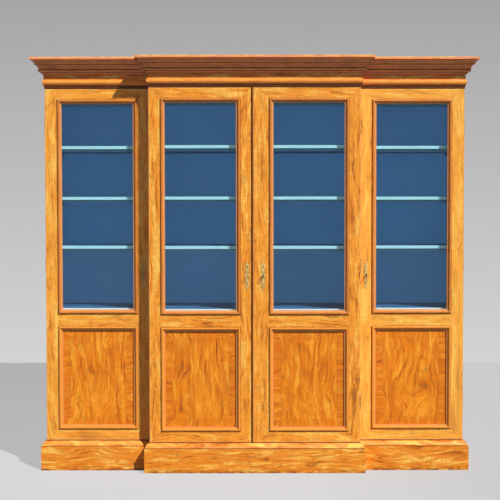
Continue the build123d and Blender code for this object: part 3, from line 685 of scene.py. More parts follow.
def astragal_section():
    """Astragal as points (along the face, forward): a low round between two fine quirks."""
    swell = arc((1.0, 0.9), (6.75, 6.6), (12.5, 0.9), 18)
    return outline((0.0, 0.0), (0.0, 1.2), (0.8, 1.2), swell, (12.7, 1.2), (13.5, 1.2), (13.5, 0.0))


def tongue_section(width, front, back):
    """A loose tongue between two boards as points (across, back): straight sides and a rounded front."""
    half = width / 2
    nose = arc((-half, front + half), (0.0, front), (half, front + half), 6)
    return outline(nose, (half, back), (-half, back))


def lines_at(section, rows):
    """Lines across a section (place, half width, strength) from rows of a height, shift, half width, strength."""
    lengths, heights = run_lengths(section), section[:-2, 1]
    return [(float(lengths[np.argmin(np.abs(heights - height * MM))]) + shift * MM, half * MM, strength)
            for height, shift, half, strength in rows]


# Pieces of metal

# Middle (out, up), first radius and its loss, width and height of the curl, first angle and turn in degrees,
# and the rod's thickness: at its start, lost by its end, and gained at its middle
BOSS = (-13.42, 0.0, 23.6, 0.0, 1.0, 1.0, -52.0, 104.0, 0.45, 0.0, 0.65)
EAR = (4.9, 25.5, 4.3, 2.1, 0.92, 1.25, 150.0, -520.0, 1.15, 0.6, 0.0)
LEAF = (-16.3, 47.5, 24.9, 0.0, 1.0, 1.0, -45.0, 90.0, 0.5, 0.0, 0.6)
CREST = (3.9, 56.2, 2.5, 1.5, 1.0, 1.0, -60.0, 470.0, 1.1, 0.5, 0.0)
HOOK = (1.7, 18.9, 1.5, 0.6, 1.0, 1.3, 200.0, -250.0, 0.85, 0.4, 0.0)
VEINS = ((33.5, 7.0), (38.5, 6.0))
STUDS = ((67.3, 2.6), (62.6, 1.4), (32.6, 1.5), (16.2, 1.3))


def escutcheon_relief(shape, place, thickness):
    """Raised work on one escutcheon, as tapered rods that lie half sunk in the plate.

    Round the keyhole a rim, along the boss and the leaves arcs parallel to their edges, in the ears
    spirals whose radius falls evenly with the turn, and domed pins and studs between them.
    """
    x0, y0, z0 = place
    share = np.linspace(0.0, 1.0, 19)
    belly = np.sin(np.pi * share)

    def lay(x, z, radius, around=False):
        path = np.stack([x0 + x * MM, np.full(len(x), y0), z0 + z * MM], axis=1)
        tube(shape, path, thickness * radius, FRONT, 8, around)

    def curl(side, end, row):
        out, up, reach, loss, wide, high, first, sweep, thick, thin, swell = row
        turn = np.radians(first + sweep * share)
        radius = reach - loss * share
        lay(side * (out + wide * radius * np.cos(turn)), end * (up + high * radius * np.sin(turn)),
            thick - thin * share + swell * belly)

    round_hole = np.radians(np.linspace(-50.0, 230.0, 23))
    foot = np.radians(np.linspace(180.0, 360.0, 9))
    lay(np.concatenate([4.3 * np.cos(round_hole), 2.75 * np.cos(foot)]),
        np.concatenate([4.3 * np.sin(round_hole), -12.2 + 2.0 * np.sin(foot)]), 0.75, True)
    for side in (-1.0, 1.0):
        curl(side, 1.0, BOSS)
        for end in (-1.0, 1.0):
            curl(side, end, EAR)
            curl(side, end, LEAF)
            for start, rise in VEINS:
                lay(side * (2.2 + 4.6 * share), end * (start + rise * share ** 1.5), 0.8 - 0.4 * share)
            curl(side, end, CREST)
            curl(side, end, HOOK)
    dome = np.radians(np.linspace(0.0, 84.0, 7))
    for end in (-1.0, 1.0):
        for height, radius in STUDS:
            stations = np.stack([0.77 * np.sin(dome), np.cos(dome)], axis=1) * radius * MM
            turned(shape, (x0, y0, z0 + end * height * MM), FRONT, stations, 16)


def forged_key(shape, node):
    """One key: a turned shank with collar and rings, a bit with a ward cut, and an oval bow.

    The bow is a round rod along an ellipse whose near end is drawn in towards its middle.
    """
    low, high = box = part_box(node)
    x0, tip, z0 = box_middle(box, 0), high[1], box_middle(box, 2)
    collar = tip - low[1] - 0.026
    neck = collar + 0.009
    rings = ((-1.2, 2.6), (-1.2, 3.8), (-0.6, 4.2), (0.6, 4.2), (1.2, 3.6), (1.6, 2.5), (2.8, 2.3), (3.6, 3.1),
             (4.4, 3.3), (5.2, 2.9), (5.8, 2.2))
    stations = [(0.0, 0.0012), (0.0005, 0.0022), (0.0014, 0.0026),
                *((collar + along * MM, radius * MM) for along, radius in rings),
                (neck, 0.002), (neck + 0.0012, 0.0016)]
    turned(shape, (x0, tip, z0), FRONT, stations, 28)
    turn = np.linspace(0.0, 2 * math.pi, 49)[:-1]
    dent = 0.14 * np.exp(-(((turn - math.pi / 2) / 0.5) ** 2))
    bow = np.stack([np.full(48, x0), low[1] + (9.5 + 7.8 * np.sin(turn) * (1.0 - dent)) * MM,
                    z0 + 10.8 * MM * np.cos(turn)], axis=1)
    tube(shape, bow, (1.55 + 0.12 * np.abs(np.cos(turn))) * MM, (1.0, 0.0, 0.0), 12, True)
    bit = outline((1.0, 0.0), (6.0, 0.0), (6.0, -11.5), (4.6, -11.5), (4.6, -8.6), (3.6, -8.6), (3.6, -11.5),
                  (1.0, -11.5), (1.0, -7.0), (2.0, -7.0), (2.0, -5.6), (1.0, -5.6))
    flat_bar(shape, bit, (x0, tip, z0), FRONT, UP, 2.0 * MM)


def screw_head(shape, place, aim, radius, dome, spin):
    """A screw head: a low dome whose height falls with the square of the distance from its middle."""
    share = np.array([1.0, 0.97, 0.85, 0.65, 0.4, 0.12])
    height = dome * (0.35 + 0.65 * (1.0 - share ** 2))
    height[0] = 0.0
    turned(shape, place, aim, np.stack([height, radius * share], axis=1), 20, spin)


# Materials


def polish(weight=0.15, roughness=0.18):
    """Shader values of wood under a coat of polish."""
    return {"Coat Weight": weight, "Coat Roughness": roughness, "Specular IOR Level": 0.35, "IOR": 1.45}


PAINT = {"IOR": 1.45}
MATT = {"Roughness": 0.9, "Specular IOR Level": 0.1}
BRUSH = (420.0, 420.0, 7.0)


class Finish(Sheet):
    """One material: its sheet with its place vector, its surface shader and its colour so far."""

    def __init__(self, name, values):
        self.material = bpy.data.materials.new(name)
        self.material.use_nodes = True
        self.material.node_tree.nodes.clear()
        super().__init__(self.material.node_tree)
        self.place = self.out("ShaderNodeTexCoord", None, "Object")
        self.shader = self.add("ShaderNodeBsdfPrincipled", values)
        self.surface = Signal(self, self.shader.outputs[0])
        self.output = self.add("ShaderNodeOutputMaterial", {"Surface": self.surface})
        self.colour = None

    def cloud(self, scale, low, high, **looks):
        """Noise on the piece, with low to high spread smoothly over 0 to 1."""
        return self.spread(self.noise(self.place, scale, **looks), low, high)

    def tint(self, mask, colour, blend="MIX"):
        """Mix the colour so far with another, as far as the mask goes."""
        self.colour = self.mix(mask, self.colour, colour, blend)

    def relief(self, height, distance):
        """Raise the surface by a height between 0 and 1, over a distance in metres."""
        bump = self.out("ShaderNodeBump", {"Height": height, "Distance": distance, "Strength": 0.6})
        self.feed(self.shader.inputs["Normal"], bump)

    def show(self, surface):
        """Take another surface for the material, and return the material."""
        self.feed(self.output.inputs["Surface"], surface)
        return self.material

    def done(self, low, high, height=None, distance=0.0, specks=0.0, dirt=None):
        """Feed the colour, the roughness between two values and the relief, and return the material."""
        worn = self.group(patina, {"Vector": self.place, "Low": low, "High": high})
        if dirt:
            self.tint(worn["Specks"] * specks, dirt)
        self.feed(self.shader.inputs["Base Color"], self.colour)
        self.feed(self.shader.inputs["Roughness"], worn["Roughness"])
        if height:
            self.relief(height, distance)
        return self.material

    def along(self):
        """Place on a carried moulding: length along it, and length across its section."""
        u, v, _ = self.apart(self.out("ShaderNodeTexCoord", None, "UV"))
        return u, v

    def wood(self, turn=0.0, seed=0.0, wander=0.02, vector=None):
        """The wood's figure, mottle, patches, streaks, ripple and pores at each place."""
        return self.group(wood_figure, {"Vector": vector or self.place, "Turn": turn, "Seed": seed,
                                        "Wander": wander})

    def reach(self, rectangle, margin=0.0):
        """How far each place lies outside a rectangle (left, right, foot, head) widened by a margin."""
        left, right, foot, head = rectangle
        return self.group(rectangle_reach, {
            "Vector": self.place, "Centre X": (left + right) / 2, "Centre Z": (foot + head) / 2,
            "Half Width": (right - left) / 2 + margin, "Half Height": (head - foot) / 2 + margin})

    def line(self, value, middle, half):
        """A soft line, 1 where a value is at its middle and 0 past half its width."""
        return self.fade(abs(value - middle), half * 0.35, half)

    def figure(self, wood, woods, main=None, pale=None, strength=1.0, deep=None):
        """Flame figure from umber to pale, with darker mottle, patches, ripple, streaks and fine pores."""
        main, deep = main or woods.gold, deep or woods.amber
        self.colour = self.ramp(wood["Figure"], [(0.0, woods.umber), (0.1, deep), (0.34, main), (0.56, main),
                                                 (0.86, pale or woods.pale)])
        for effect, share, colour in (("Mottle", 0.5 * strength, deep), ("Patch", 0.55 * strength, woods.umber),
                                      ("Ripple", 0.3 * strength, deep), ("Streak", 0.42, woods.umber),
                                      ("Pores", 0.28, woods.umber)):
            self.tint(wood[effect] * share, colour)


def paint_node(node, material):
    """Give a CAD node one material all over."""
    mesh = frame["nodes"][node].data
    mesh.materials.clear()
    mesh.materials.append(material)


def door_frame_finish(door, seed, woods):
    """Veneered door frame: upright stiles, level rails, mitred corners, a rubbed edge with a painted highlight, dirt
    and painted shade round the mouldings, and on the centre left door painted shadow down the meeting stile.
    """
    finish = Finish(f"{door}_veneer", polish(0.15, 0.14))
    sight = door_sight(door)
    left, right, panel_foot, panel_head = sight["panel"]
    _, _, glass_foot, glass_head = sight["glass"]
    whole = finish.reach((left, right, panel_foot, glass_head), MOULDING_WIDTH)
    rail = finish.reach((left, right, panel_head, glass_foot))
    beyond = whole["Up"] > 0.0
    turn = finish.greater((whole["Up"] > whole["Across"]) * beyond, (rail["Up"] < 0.0) * (whole["Across"] < 0.0))
    wood = finish.wood(turn, seed, 0.024)
    finish.figure(wood, woods)
    finish.tint(PALENESS[door], woods.pale)
    mitre = finish.line(whole["Up"] - whole["Across"], 0.0, JOINT_LINE)
    finish.tint(mitre * beyond * 0.45, woods.umber)
    low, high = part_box(f"{door}_frame")
    x, y, z = finish.apart(finish.place)
    in_front = y < low[1] + ARRIS
    grime_and_shade = finish.cloud((40.0, 40.0, 40.0), 0.25, 0.6) * 0.85 * in_front
    # Dirt with painted shade: a broken dark line on the frame just outside each moulding
    for rectangle in sight.values():
        around = finish.reach(rectangle, MOULDING_WIDTH)["Reach"]
        finish.tint(finish.fade(around, 0.0004, 0.0032) * grime_and_shade, woods.quirk)
    # Worn polish with a painted highlight along the door's front edges
    edge = finish.reach((low[0], high[0], low[2], high[2]), -ARRIS)["Reach"]
    finish.tint((edge > 0.0) * in_front * 0.75, woods.arris_wear_highlight)
    # Painted shadow of the astragal down the meeting stile
    if door == "centre_left_door":
        start, full, depth = MEETING_SHADE
        meeting = finish.spread(x, high[0] - start, high[0] - full)
        finish.tint(meeting * (y < low[1] + depth) * 0.97, woods.quirk)
    x0, _, z0 = key_place(door)
    handled = finish.fade(finish.distance((x - x0) / 0.016, (z - z0) / 0.082), 0.45, 1.15)
    finish.tint(handled * (grime_and_shade * 0.75), woods.umber)
    return finish.done(0.26, 0.42, 1.0 - wood["Pores"], 0.0002, 0.5, woods.umber)


def panel_finish(door, seed, woods):
    """Panel veneer: a flame-figured middle with a feather near its foot, and a crossbanded border."""
    finish = Finish(f"{door}_panel_veneer", polish(0.2, 0.12))
    left, right, foot, head = rectangle = door_sight(door)["panel"]
    border = finish.reach(rectangle, -BANDING)
    outside = border["Reach"] > 0.0
    inside = 1.0 - outside
    level = border["Across"] > border["Up"]
    x, _, z = finish.apart(finish.place)
    aside = abs(x - ((left + right) / 2 + 0.02 * math.sin(2.3 * seed)))
    swing = finish.noise(finish.place, (14.0, 14.0, 9.0))
    feather = z - aside * 1.5 + swing * 0.12
    wood = finish.wood(outside * level, seed + 5.0, 0.045)
    chevrons = finish.noise(finish.join(aside * 14.0, seed * 3.1, feather * 46.0), (1.0, 1.0, 1.0), roughness=0.55)
    away = aside * 7.5 + abs((z - (foot + 0.11)) * 5.5)
    finish.figure(wood, woods, woods.panel, woods.panel_pale, 0.6, woods.panel_deep)
    plume = finish.ramp(chevrons, [(0.32, woods.panel_deep), (0.44, woods.panel), (0.54, woods.panel_pale),
                                   (0.6, woods.panel), (0.7, woods.panel_deep)])
    finish.tint(finish.fade(away, 0.3, 1.15) * inside * 0.6, plume)
    drawn = finish.cloud((150.0, 150.0, 5.0), 0.46, 0.68, roughness=0.6)
    finish.tint(drawn * inside * 0.35, woods.panel_pale)
    broad = finish.cloud((13.0, 13.0, 7.0), 0.5, 0.64, distortion=0.6)
    finish.tint(broad * inside * 0.4, woods.panel_deep)
    block = finish.chance(finish.math("FLOOR", (x + z + seed) * 11.0))
    finish.tint(block * outside * level * 0.55, woods.panel_deep)
    finish.tint(outside * 0.2, woods.amber)
    line = finish.line(border["Reach"], 0.0, JOINT_LINE)
    corner = finish.line(border["Up"] - border["Across"], 0.0, JOINT_LINE)
    finish.tint(finish.greater(line, corner * outside) * 0.5, woods.umber)
    # Painted shade: a thin dark line where the veneer meets the moulding
    finish.tint(finish.fade(BANDING - border["Reach"], 0.0, 0.003) * 0.5, woods.umber)
    return finish.done(0.22, 0.36, 1.0 - wood["Pores"], 0.00015, 0.4, woods.umber)


def carried_finish(name, woods, light, seed, shade_lines, highlight_lines, dark=None, pale=None, mottle=0.4,
                   past=None, shade_left_of=None):
    """Polish on a carried moulding, with grain along it, and lines of painted shade and of painted highlight at
    lengths across its section.

    A line is its place across the section, its half width and its strength. Past a length the moulding
    takes another colour, with one strength below a height and another above it. Left of a place it takes painted
    shade.
    """
    finish = Finish(name, polish(0.2, 0.16))
    u, v = finish.along()
    x, _, z = finish.apart(finish.place)
    wood = finish.wood(0.0, seed, 0.006, finish.join(v, 0.0, u))
    finish.colour = finish.mix(wood["Figure"] * 0.3, light, woods.gold)
    finish.tint(wood["Mottle"] * mottle, woods.amber)
    finish.tint(wood["Streak"] * 0.4, dark or woods.umber)
    if past:
        length, other, below, above, height = past
        higher = z > height
        finish.tint((1.0 - higher) * 0.45, woods.gold)
        finish.tint((v > length) * (higher * (above - below) + below), other)
    worn = finish.cloud((26.0, 26.0, 26.0), 0.3, 0.62, detail=4.0)
    # Painted shade in the hollows and at the feet of the moulding
    for place, half, strength in shade_lines:
        finish.tint(finish.line(v, place, half) * strength, dark or woods.quirk)
    # Painted highlights on the ridges, broken up in patches
    for place, half, strength in highlight_lines:
        finish.tint(finish.line(v, place, half) * (worn * strength), pale or woods.arris_wear_highlight)
    # Painted shade on the part left of a place, the astragal's shaded side
    if shade_left_of is not None:
        lit = finish.spread(x, shade_left_of - MM, shade_left_of + MM)
        finish.tint(0.9 - lit * 0.9, dark or woods.quirk)
    return finish.done(0.24, 0.4, 1.0 - wood["Pores"], 0.0001)


def plain_wood_finish(name, woods, seed):
    """Polished wood with upright grain."""
    finish = Finish(name, polish())
    wood = finish.wood(0.0, seed, 0.02)
    finish.figure(wood, woods, woods.moulding, woods.gold)
    return finish.done(0.3, 0.46, 1.0 - wood["Pores"], 0.00015)


def level_finish(name, woods, seed, base, shade_lines=(), darker_foot=False):
    """Polished boards or mouldings with level grain that turns the case's corners, lines of painted shade at
    heights, and when asked, darker patches towards the foot.
    """
    finish = Finish(name, polish())
    x, y, z = finish.apart(finish.place)
    wood = finish.wood(1.0, seed, 0.03, finish.join(x + y, 0.0, z))
    finish.figure(wood, woods, base)
    # Darker in patches towards the foot
    if darker_foot:
        rough = finish.cloud((30.0, 30.0, 60.0), 0.35, 0.65, detail=4.0)
        finish.tint(finish.fade(z, 0.0, 0.026) * rough, woods.umber)
    # Painted shade in lines at heights
    for height, half, strength in shade_lines:
        finish.tint(finish.line(z, height, half) * strength, woods.quirk)
    return finish.done(0.28, 0.46, 1.0 - wood["Pores"], 0.0002)


def painted_colour(finish, paint):
    """Blue paint with slow clouds and faint upright brush marks, and painted shade that makes it deeper low down."""
    cloud = finish.cloud((2.2, 2.2, 1.6), 0.3, 0.7)
    brush = finish.cloud(BRUSH, 0.35, 0.75, detail=2.0)
    colour = finish.mix(cloud, dimmed(paint.inside, 0.9), dimmed(paint.inside, 1.08))
    colour = finish.mix(brush, colour, paint.inside)
    _, _, z = finish.apart(finish.place)
    # Painted shade: the paint is deeper below about 1.2 m
    return finish.mix(finish.fade(z, 1.18, 1.24), colour, (0.66, 0.84, 0.88), "MULTIPLY")


def case_side_finish(node, painted_face, seed, woods, paint):
    """Carcase side: polished outside with upright grain, painted on the face inside the case."""
    finish = Finish(f"{node}_polish", polish())
    wood = finish.wood(0.0, seed, 0.03)
    finish.figure(wood, woods)
    x, _, _ = finish.apart(finish.place)
    finish.tint(abs(x - painted_face) < PAINT_EDGE, painted_colour(finish, paint))
    return finish.done(0.3, 0.46, 1.0 - wood["Pores"], 0.00015)


def painted_finish(name, paint):
    """Plain painted boards."""
    finish = Finish(name, PAINT)
    finish.colour = painted_colour(finish, paint)
    return finish.done(0.42, 0.58, finish.noise(finish.place, BRUSH, detail=2.0), 0.0002)


def shelf_finish(node, paint):
    """Painted shelves with a painted highlight on the nosing, a teal hollow under it, painted shade on their upward
    faces, and a white painted highlight on the fixed shelf's edge.
    """
    finish = Finish(f"{node}_paint", PAINT)
    _, y, _ = finish.apart(finish.place)
    fixed_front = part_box(node)[0][1]
    loose_front = fixed_front + NOSING_SET_BACK
    finish.colour = painted_colour(finish, paint)
    hollow = (y > loose_front + NOSING_EDGE) * (y < loose_front + NOSING_DEPTH)
    finish.tint(hollow * 0.85, paint.under)
    # Painted shade: upward faces darker, against the light that falls on them
    _, _, up = finish.apart(finish.out("ShaderNodeNewGeometry", None, "Normal"))
    finish.tint((up > 0.5) * 0.4, dimmed(paint.inside, 0.4))
    # Painted highlight on the nosing, varied in patches
    wear = finish.cloud((60.0, 60.0, 260.0), 0.3, 0.7)
    nosing = finish.mix(wear, dimmed(paint.edge, 0.86), paint.edge)
    finish.tint(abs(y - loose_front) < NOSING_EDGE, nosing)
    # Painted highlight on the fixed shelf's front edge
    finish.tint(abs(y - fixed_front) < NOSING_EDGE, paint.sill_highlight)
    return finish.done(0.4, 0.56)


def top_finish(paint):
    """Painted tops, with a lighter rail behind the door heads."""
    finish = Finish("case_tops_paint", PAINT)
    _, _, z = finish.apart(finish.place)
    finish.colour = painted_colour(finish, paint)
    finish.tint((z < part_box("case_tops")[1][2] - TOP_RAIL) * 0.85, paint.under)
    return finish.done(0.42, 0.58)


def bare_finish(name, woods, paint=None, painted_side=None):
    """Unpolished boards with saw marks, painted on one side where the case shows it.

    The painted side is given as an axis number, a place on that axis, and whether it lies below the place.
    """
    finish = Finish(name, PAINT)
    place = list(finish.apart(finish.place))
    x = place[0]
    side = abs(x)
    wing_board = finish.math("FLOOR", (side - WING_BOARDS_START) / WING_BOARD)
    centre_board = finish.math("FLOOR", (x + CENTRE_HALF) / CENTRE_BOARD)
    tone = finish.chance(finish.between(side > WING_START, centre_board, wing_board) + 0.5)
    wood = finish.wood(0.0, tone * 4.0, 0.03)
    finish.colour = finish.mix(tone, dimmed(woods.bare, 0.72), woods.bare)
    finish.tint(wood["Figure"] * 0.45, dimmed(woods.bare, 0.55))
    finish.tint(wood["Streak"] * 0.4, dimmed(woods.bare, 0.35))
    if painted_side:
        axis, edge, below = painted_side
        finish.tint(place[axis] < edge if below else place[axis] > edge, painted_colour(finish, paint))
    return finish.done(0.55, 0.75, finish.noise(finish.place, (30.0, 30.0, 900.0), detail=1.0), 0.0002)


def glass_finish():
    """Clear glass that lets the lamps and the light off the shelves through."""
    clear = srgb(246, 251, 253)
    finish = Finish("clear_glass", {"Transmission Weight": 1.0, "Roughness": 0.0, "Base Color": clear, **PAINT})
    finish.relief(finish.noise(finish.place, (3.0, 3.0, 2.0), detail=1.0), 0.0006)
    through = finish.greater(finish.ray("Shadow"), finish.ray("Diffuse"))
    unbent = finish.out("ShaderNodeBsdfTransparent", {"Color": clear})
    return finish.show(finish.mix_shader(through, finish.surface, unbent))


def metal_finish(name, face, hollow, low, high, slotted=0.0, metallic=1.0):
    """Worn metal: bright on its open faces and dull in patches, with a slot across each head if given, and painted
    shade in the slot and round the head's rim.
    """
    finish = Finish(name, {"Metallic": metallic, **PAINT})
    patch = finish.cloud((70.0, 70.0, 70.0), 0.4, 0.66, detail=4.0, roughness=0.65)
    height = finish.noise(finish.place, (620.0, 620.0, 620.0), detail=2.0)
    finish.colour = finish.mix(patch, face, hollow)
    if slotted:
        u, v = finish.along()
        slot = abs(v) < slotted
        # Painted shade in the slot and round the rim of each head
        marked = finish.greater(slot, finish.distance(u, v) > slotted * 7.0)
        finish.tint(marked * 0.9, dimmed(hollow, 0.12))
        height = height * 0.2 - slot
    return finish.done(low, high, height, 0.0001)


# Operators


class BOOKCASE_OT_finish_doors(bpy.types.Operator):
    """Veneer the door frames and panels"""

    bl_idname = "bookcase.finish_doors"
    bl_label = "Finish Doors"

    def execute(self, context):
        woods = context.scene.bookcase_wood
        beads = plain_wood_finish("bead_polish", woods, 12.0)
        for seed, door in enumerate(DOORS):
            paint_node(f"{door}_frame", door_frame_finish(door, float(seed), woods))
            paint_node(f"{door}_panel", panel_finish(door, float(seed), woods))
            paint_node(f"{door}_beads", beads)
        return {"FINISHED"}


class BOOKCASE_OT_mould_doors(bpy.types.Operator):
    """Run the mouldings round the glass and panels, and the astragal down the meeting line"""

    bl_idname = "bookcase.mould_doors"
    bl_label = "Mould Doors"

    def execute(self, context):
        woods = context.scene.bookcase_wood
        section = bolection_section()
        lengths = run_lengths(section)
        quirk = float(lengths[TORUS_END] + lengths[TORUS_END + 1]) / 2
        lip = float(lengths[LIP_POINT])
        for seed, door in enumerate(DOORS):
            low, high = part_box(f"{door}_frame")
            meets = door == "centre_right_door"
            # Painted shade at the outer foot, partly dirt, and in the quirk; painted highlights on the lip and the
            # torus; on the right centre door painted shade on the astragal's left side
            material = carried_finish(f"{door}_moulding_polish", woods, woods.moulding, 60.0 + seed,
                                      [(0.0, 0.0052, 0.95), (quirk, 0.0016, 0.5)],
                                      [(lip, 0.0024, 0.9), (0.011, 0.002, 0.3)],
                                      past=(quirk, woods.sight, 0.35, 0.85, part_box(f"{door}_glass")[0][2] - 0.03),
                                      shade_left_of=low[0] - ASTRAGAL_SHADE if meets else None)
            shape = Shape()
            for left, right, foot, head in door_sight(door).values():
                left, right = left - MOULDING_WIDTH, right + MOULDING_WIDTH
                foot, head = foot - MOULDING_WIDTH, head + MOULDING_WIDTH
                corners = [(x, low[1], z) for x, z in ((right, foot), (left, foot), (left, head), (right, head))]
                carry(shape, section, corners, FRONT, closed=True)
            if meets:
                carry(shape, astragal_section(), [(low[0], low[1], high[2]), low], FRONT, glue=0.0)
            shape.piece(f"{door}_run_mouldings", door, "dark_mahogany", material, replaced=f"{door}_mouldings")
        return {"FINISHED"}


class BOOKCASE_OT_finish_case(bpy.types.Operator):
    """Polish the carcase sides and the plinth, and leave the back and bottoms bare"""

    bl_idname = "bookcase.finish_case"
    bl_label = "Finish Case"

    def execute(self, context):
        woods, paint = context.scene.bookcase_wood, context.scene.bookcase_paint
        for seed, (node, inner) in enumerate(PAINTED_SIDES.items()):
            paint_node(node, case_side_finish(node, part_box(node)[inner][0], 30.0 + seed, woods, paint))
        # The plinth boards are darker in patches towards their foot
        paint_node("plinth_boards", level_finish("plinth_veneer", woods, 21.0, woods.plinth, darker_foot=True))
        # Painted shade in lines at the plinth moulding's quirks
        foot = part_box("plinth_moulding")[0][2]
        paint_node("plinth_moulding", level_finish("plinth_moulding_polish", woods, 41.0, woods.base,
                                                   [(foot + 0.0014, 0.0032, 0.9), (foot + 0.0285, 0.003, 0.6)]))
        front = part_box("back_boards")[0][1]
        paint_node("back_boards", bare_finish("back_boards_wood", woods, paint, (1, front + PAINT_EDGE, True)))
        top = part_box("case_bottoms")[1][2]
        paint_node("case_bottoms", bare_finish("case_bottoms_wood", woods, paint, (2, top - PAINT_EDGE, False)))
        paint_node("cornice_dust_boards", bare_finish("dust_boards_wood", woods))
        return {"FINISHED"}


class BOOKCASE_OT_run_cornice(bpy.types.Operator):
    """Run the cornice and the bead round the case, and polish the frieze"""

    bl_idname = "bookcase.run_cornice"
    bl_label = "Run Cornice"

    def execute(self, context):
        woods = context.scene.bookcase_wood
        case_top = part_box("cornice_moulding")[1][2] - CORNICE_HEIGHT
        section, bead = cornice_section(), bead_section()
        girth = float(run_lengths(bead)[-1])
        dark, pale = lines_at(section, CORNICE_SHADE_LINES), lines_at(section, CORNICE_HIGHLIGHT_LINES)
        # Painted shade in the cornice's hollows and painted highlights on its ridges
        cornice_polish = carried_finish("cornice_polish", woods, woods.cornice, 51.0, dark, pale,
                                        dark=woods.cornice_shade, pale=woods.pale, mottle=0.3,
                                        past=(pale[0][0] + 0.0035, woods.bare, 0.8, 0.8, 0.0))
        # Painted shade at the bead's feet and a painted highlight along its upper part
        bead_polish = carried_finish("bead_run_polish", woods, woods.bead, 58.0,
                                     [(0.0008, 0.0022, 0.85), (girth - 0.0006, 0.0012, 0.6)],
                                     [(girth * 0.6, 0.008, 0.25)], pale=woods.pale, mottle=0.3)
        for name, run, slot, material, replaced in (
                ("run_cornice", section, "cornice_wood", cornice_polish, "cornice_moulding"),
                ("run_bead", bead, "dark_mahogany", bead_polish, "cornice_bead")):
            shape = Shape()
            carry(shape, run, case_corners(case_top), UP)
            shape.piece(name, "case", slot, material, replaced=replaced)
        # Painted shadow of the bead on the recess under it
        paint_node("cornice_frieze", level_finish("frieze_polish", woods, 55.0, woods.bead,
                                                  [(case_top + 0.004, 0.0165, 0.93)]))
        return {"FINISHED"}


class BOOKCASE_OT_paint_inside(bpy.types.Operator):
    """Paint the shelves, their bearers and the tops"""

    bl_idname = "bookcase.paint_inside"
    bl_label = "Paint Inside"

    def execute(self, context):
        paint = context.scene.bookcase_paint
        for node in SHELVES:
            paint_node(node, shelf_finish(node, paint))
        plain = painted_finish("shelf_bearers_paint", paint)
        paint_node("shelf_bearers", plain)
        low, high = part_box("back_boards")
        section = tongue_section(0.5, 0.3, (high[1] - low[1]) / MM - 2.0)
        shape = Shape()
        for x in back_gaps():
            carry(shape, section, [(x, low[1], low[2]), (x, low[1], high[2])], BACK, glue=0.0)
        shape.piece("back_tongues", "case", "painted_interior", plain)
        paint_node("case_tops", top_finish(paint))
        return {"FINISHED"}


class BOOKCASE_OT_glaze(bpy.types.Operator):
    """Fit the clear glass"""

    bl_idname = "bookcase.glaze"
    bl_label = "Glaze Doors"

    def execute(self, context):
        glass = glass_finish()
        for door in DOORS:
            paint_node(f"{door}_glass", glass)
        return {"FINISHED"}


class BOOKCASE_OT_finish_metalwork(bpy.types.Operator):
    """Finish the hinges, locks, bolts and plates, and lay the raised work on the escutcheons"""

    bl_idname = "bookcase.finish_metalwork"
    bl_label = "Finish Metalwork"

    def execute(self, context):
        metals = context.scene.bookcase_metal
        brass = metal_finish("aged_brass", metals.brass, metals.tarnish, 0.24, 0.46)
        plate = metal_finish("escutcheon_brass", dimmed(metals.brass, 0.75), metals.tarnish, 0.42, 0.6, metallic=0.2)
        raised = metal_finish("rubbed_brass", metals.brass, dimmed(metals.brass, 0.8), 0.3, 0.45, metallic=0.2)
        steel = metal_finish("worn_steel", metals.steel, dimmed(metals.steel, 0.5), 0.3, 0.5)
        for node in frame["nodes"]:
            for ends, metal in (("_escutcheon", plate), (BRASS_ENDS, brass), (("_top_bolt", "_bottom_bolt"), steel)):
                if node.endswith(ends):
                    paint_node(node, metal)
        for door in DOORS:
            shape = Shape()
            escutcheon_relief(shape, key_place(door), metals.relief)
            shape.piece(f"{door}_escutcheon_relief", door, "aged_brass", raised, 50.0)
        return {"FINISHED"}


class BOOKCASE_OT_forge_keys(bpy.types.Operator):
    """Turn and bend the two keys"""

    bl_idname = "bookcase.forge_keys"
    bl_label = "Forge Keys"

    def execute(self, context):
        metals = context.scene.bookcase_metal
        iron = metal_finish("key_iron", metals.iron, dimmed(metals.iron, 0.4), 0.34, 0.55)
        for node in ("centre_right_key", "right_wing_key"):
            shape = Shape()
            forged_key(shape, node)
            shape.piece(f"{node}_forged", node, "iron_key", iron, replaced=node)
        return {"FINISHED"}


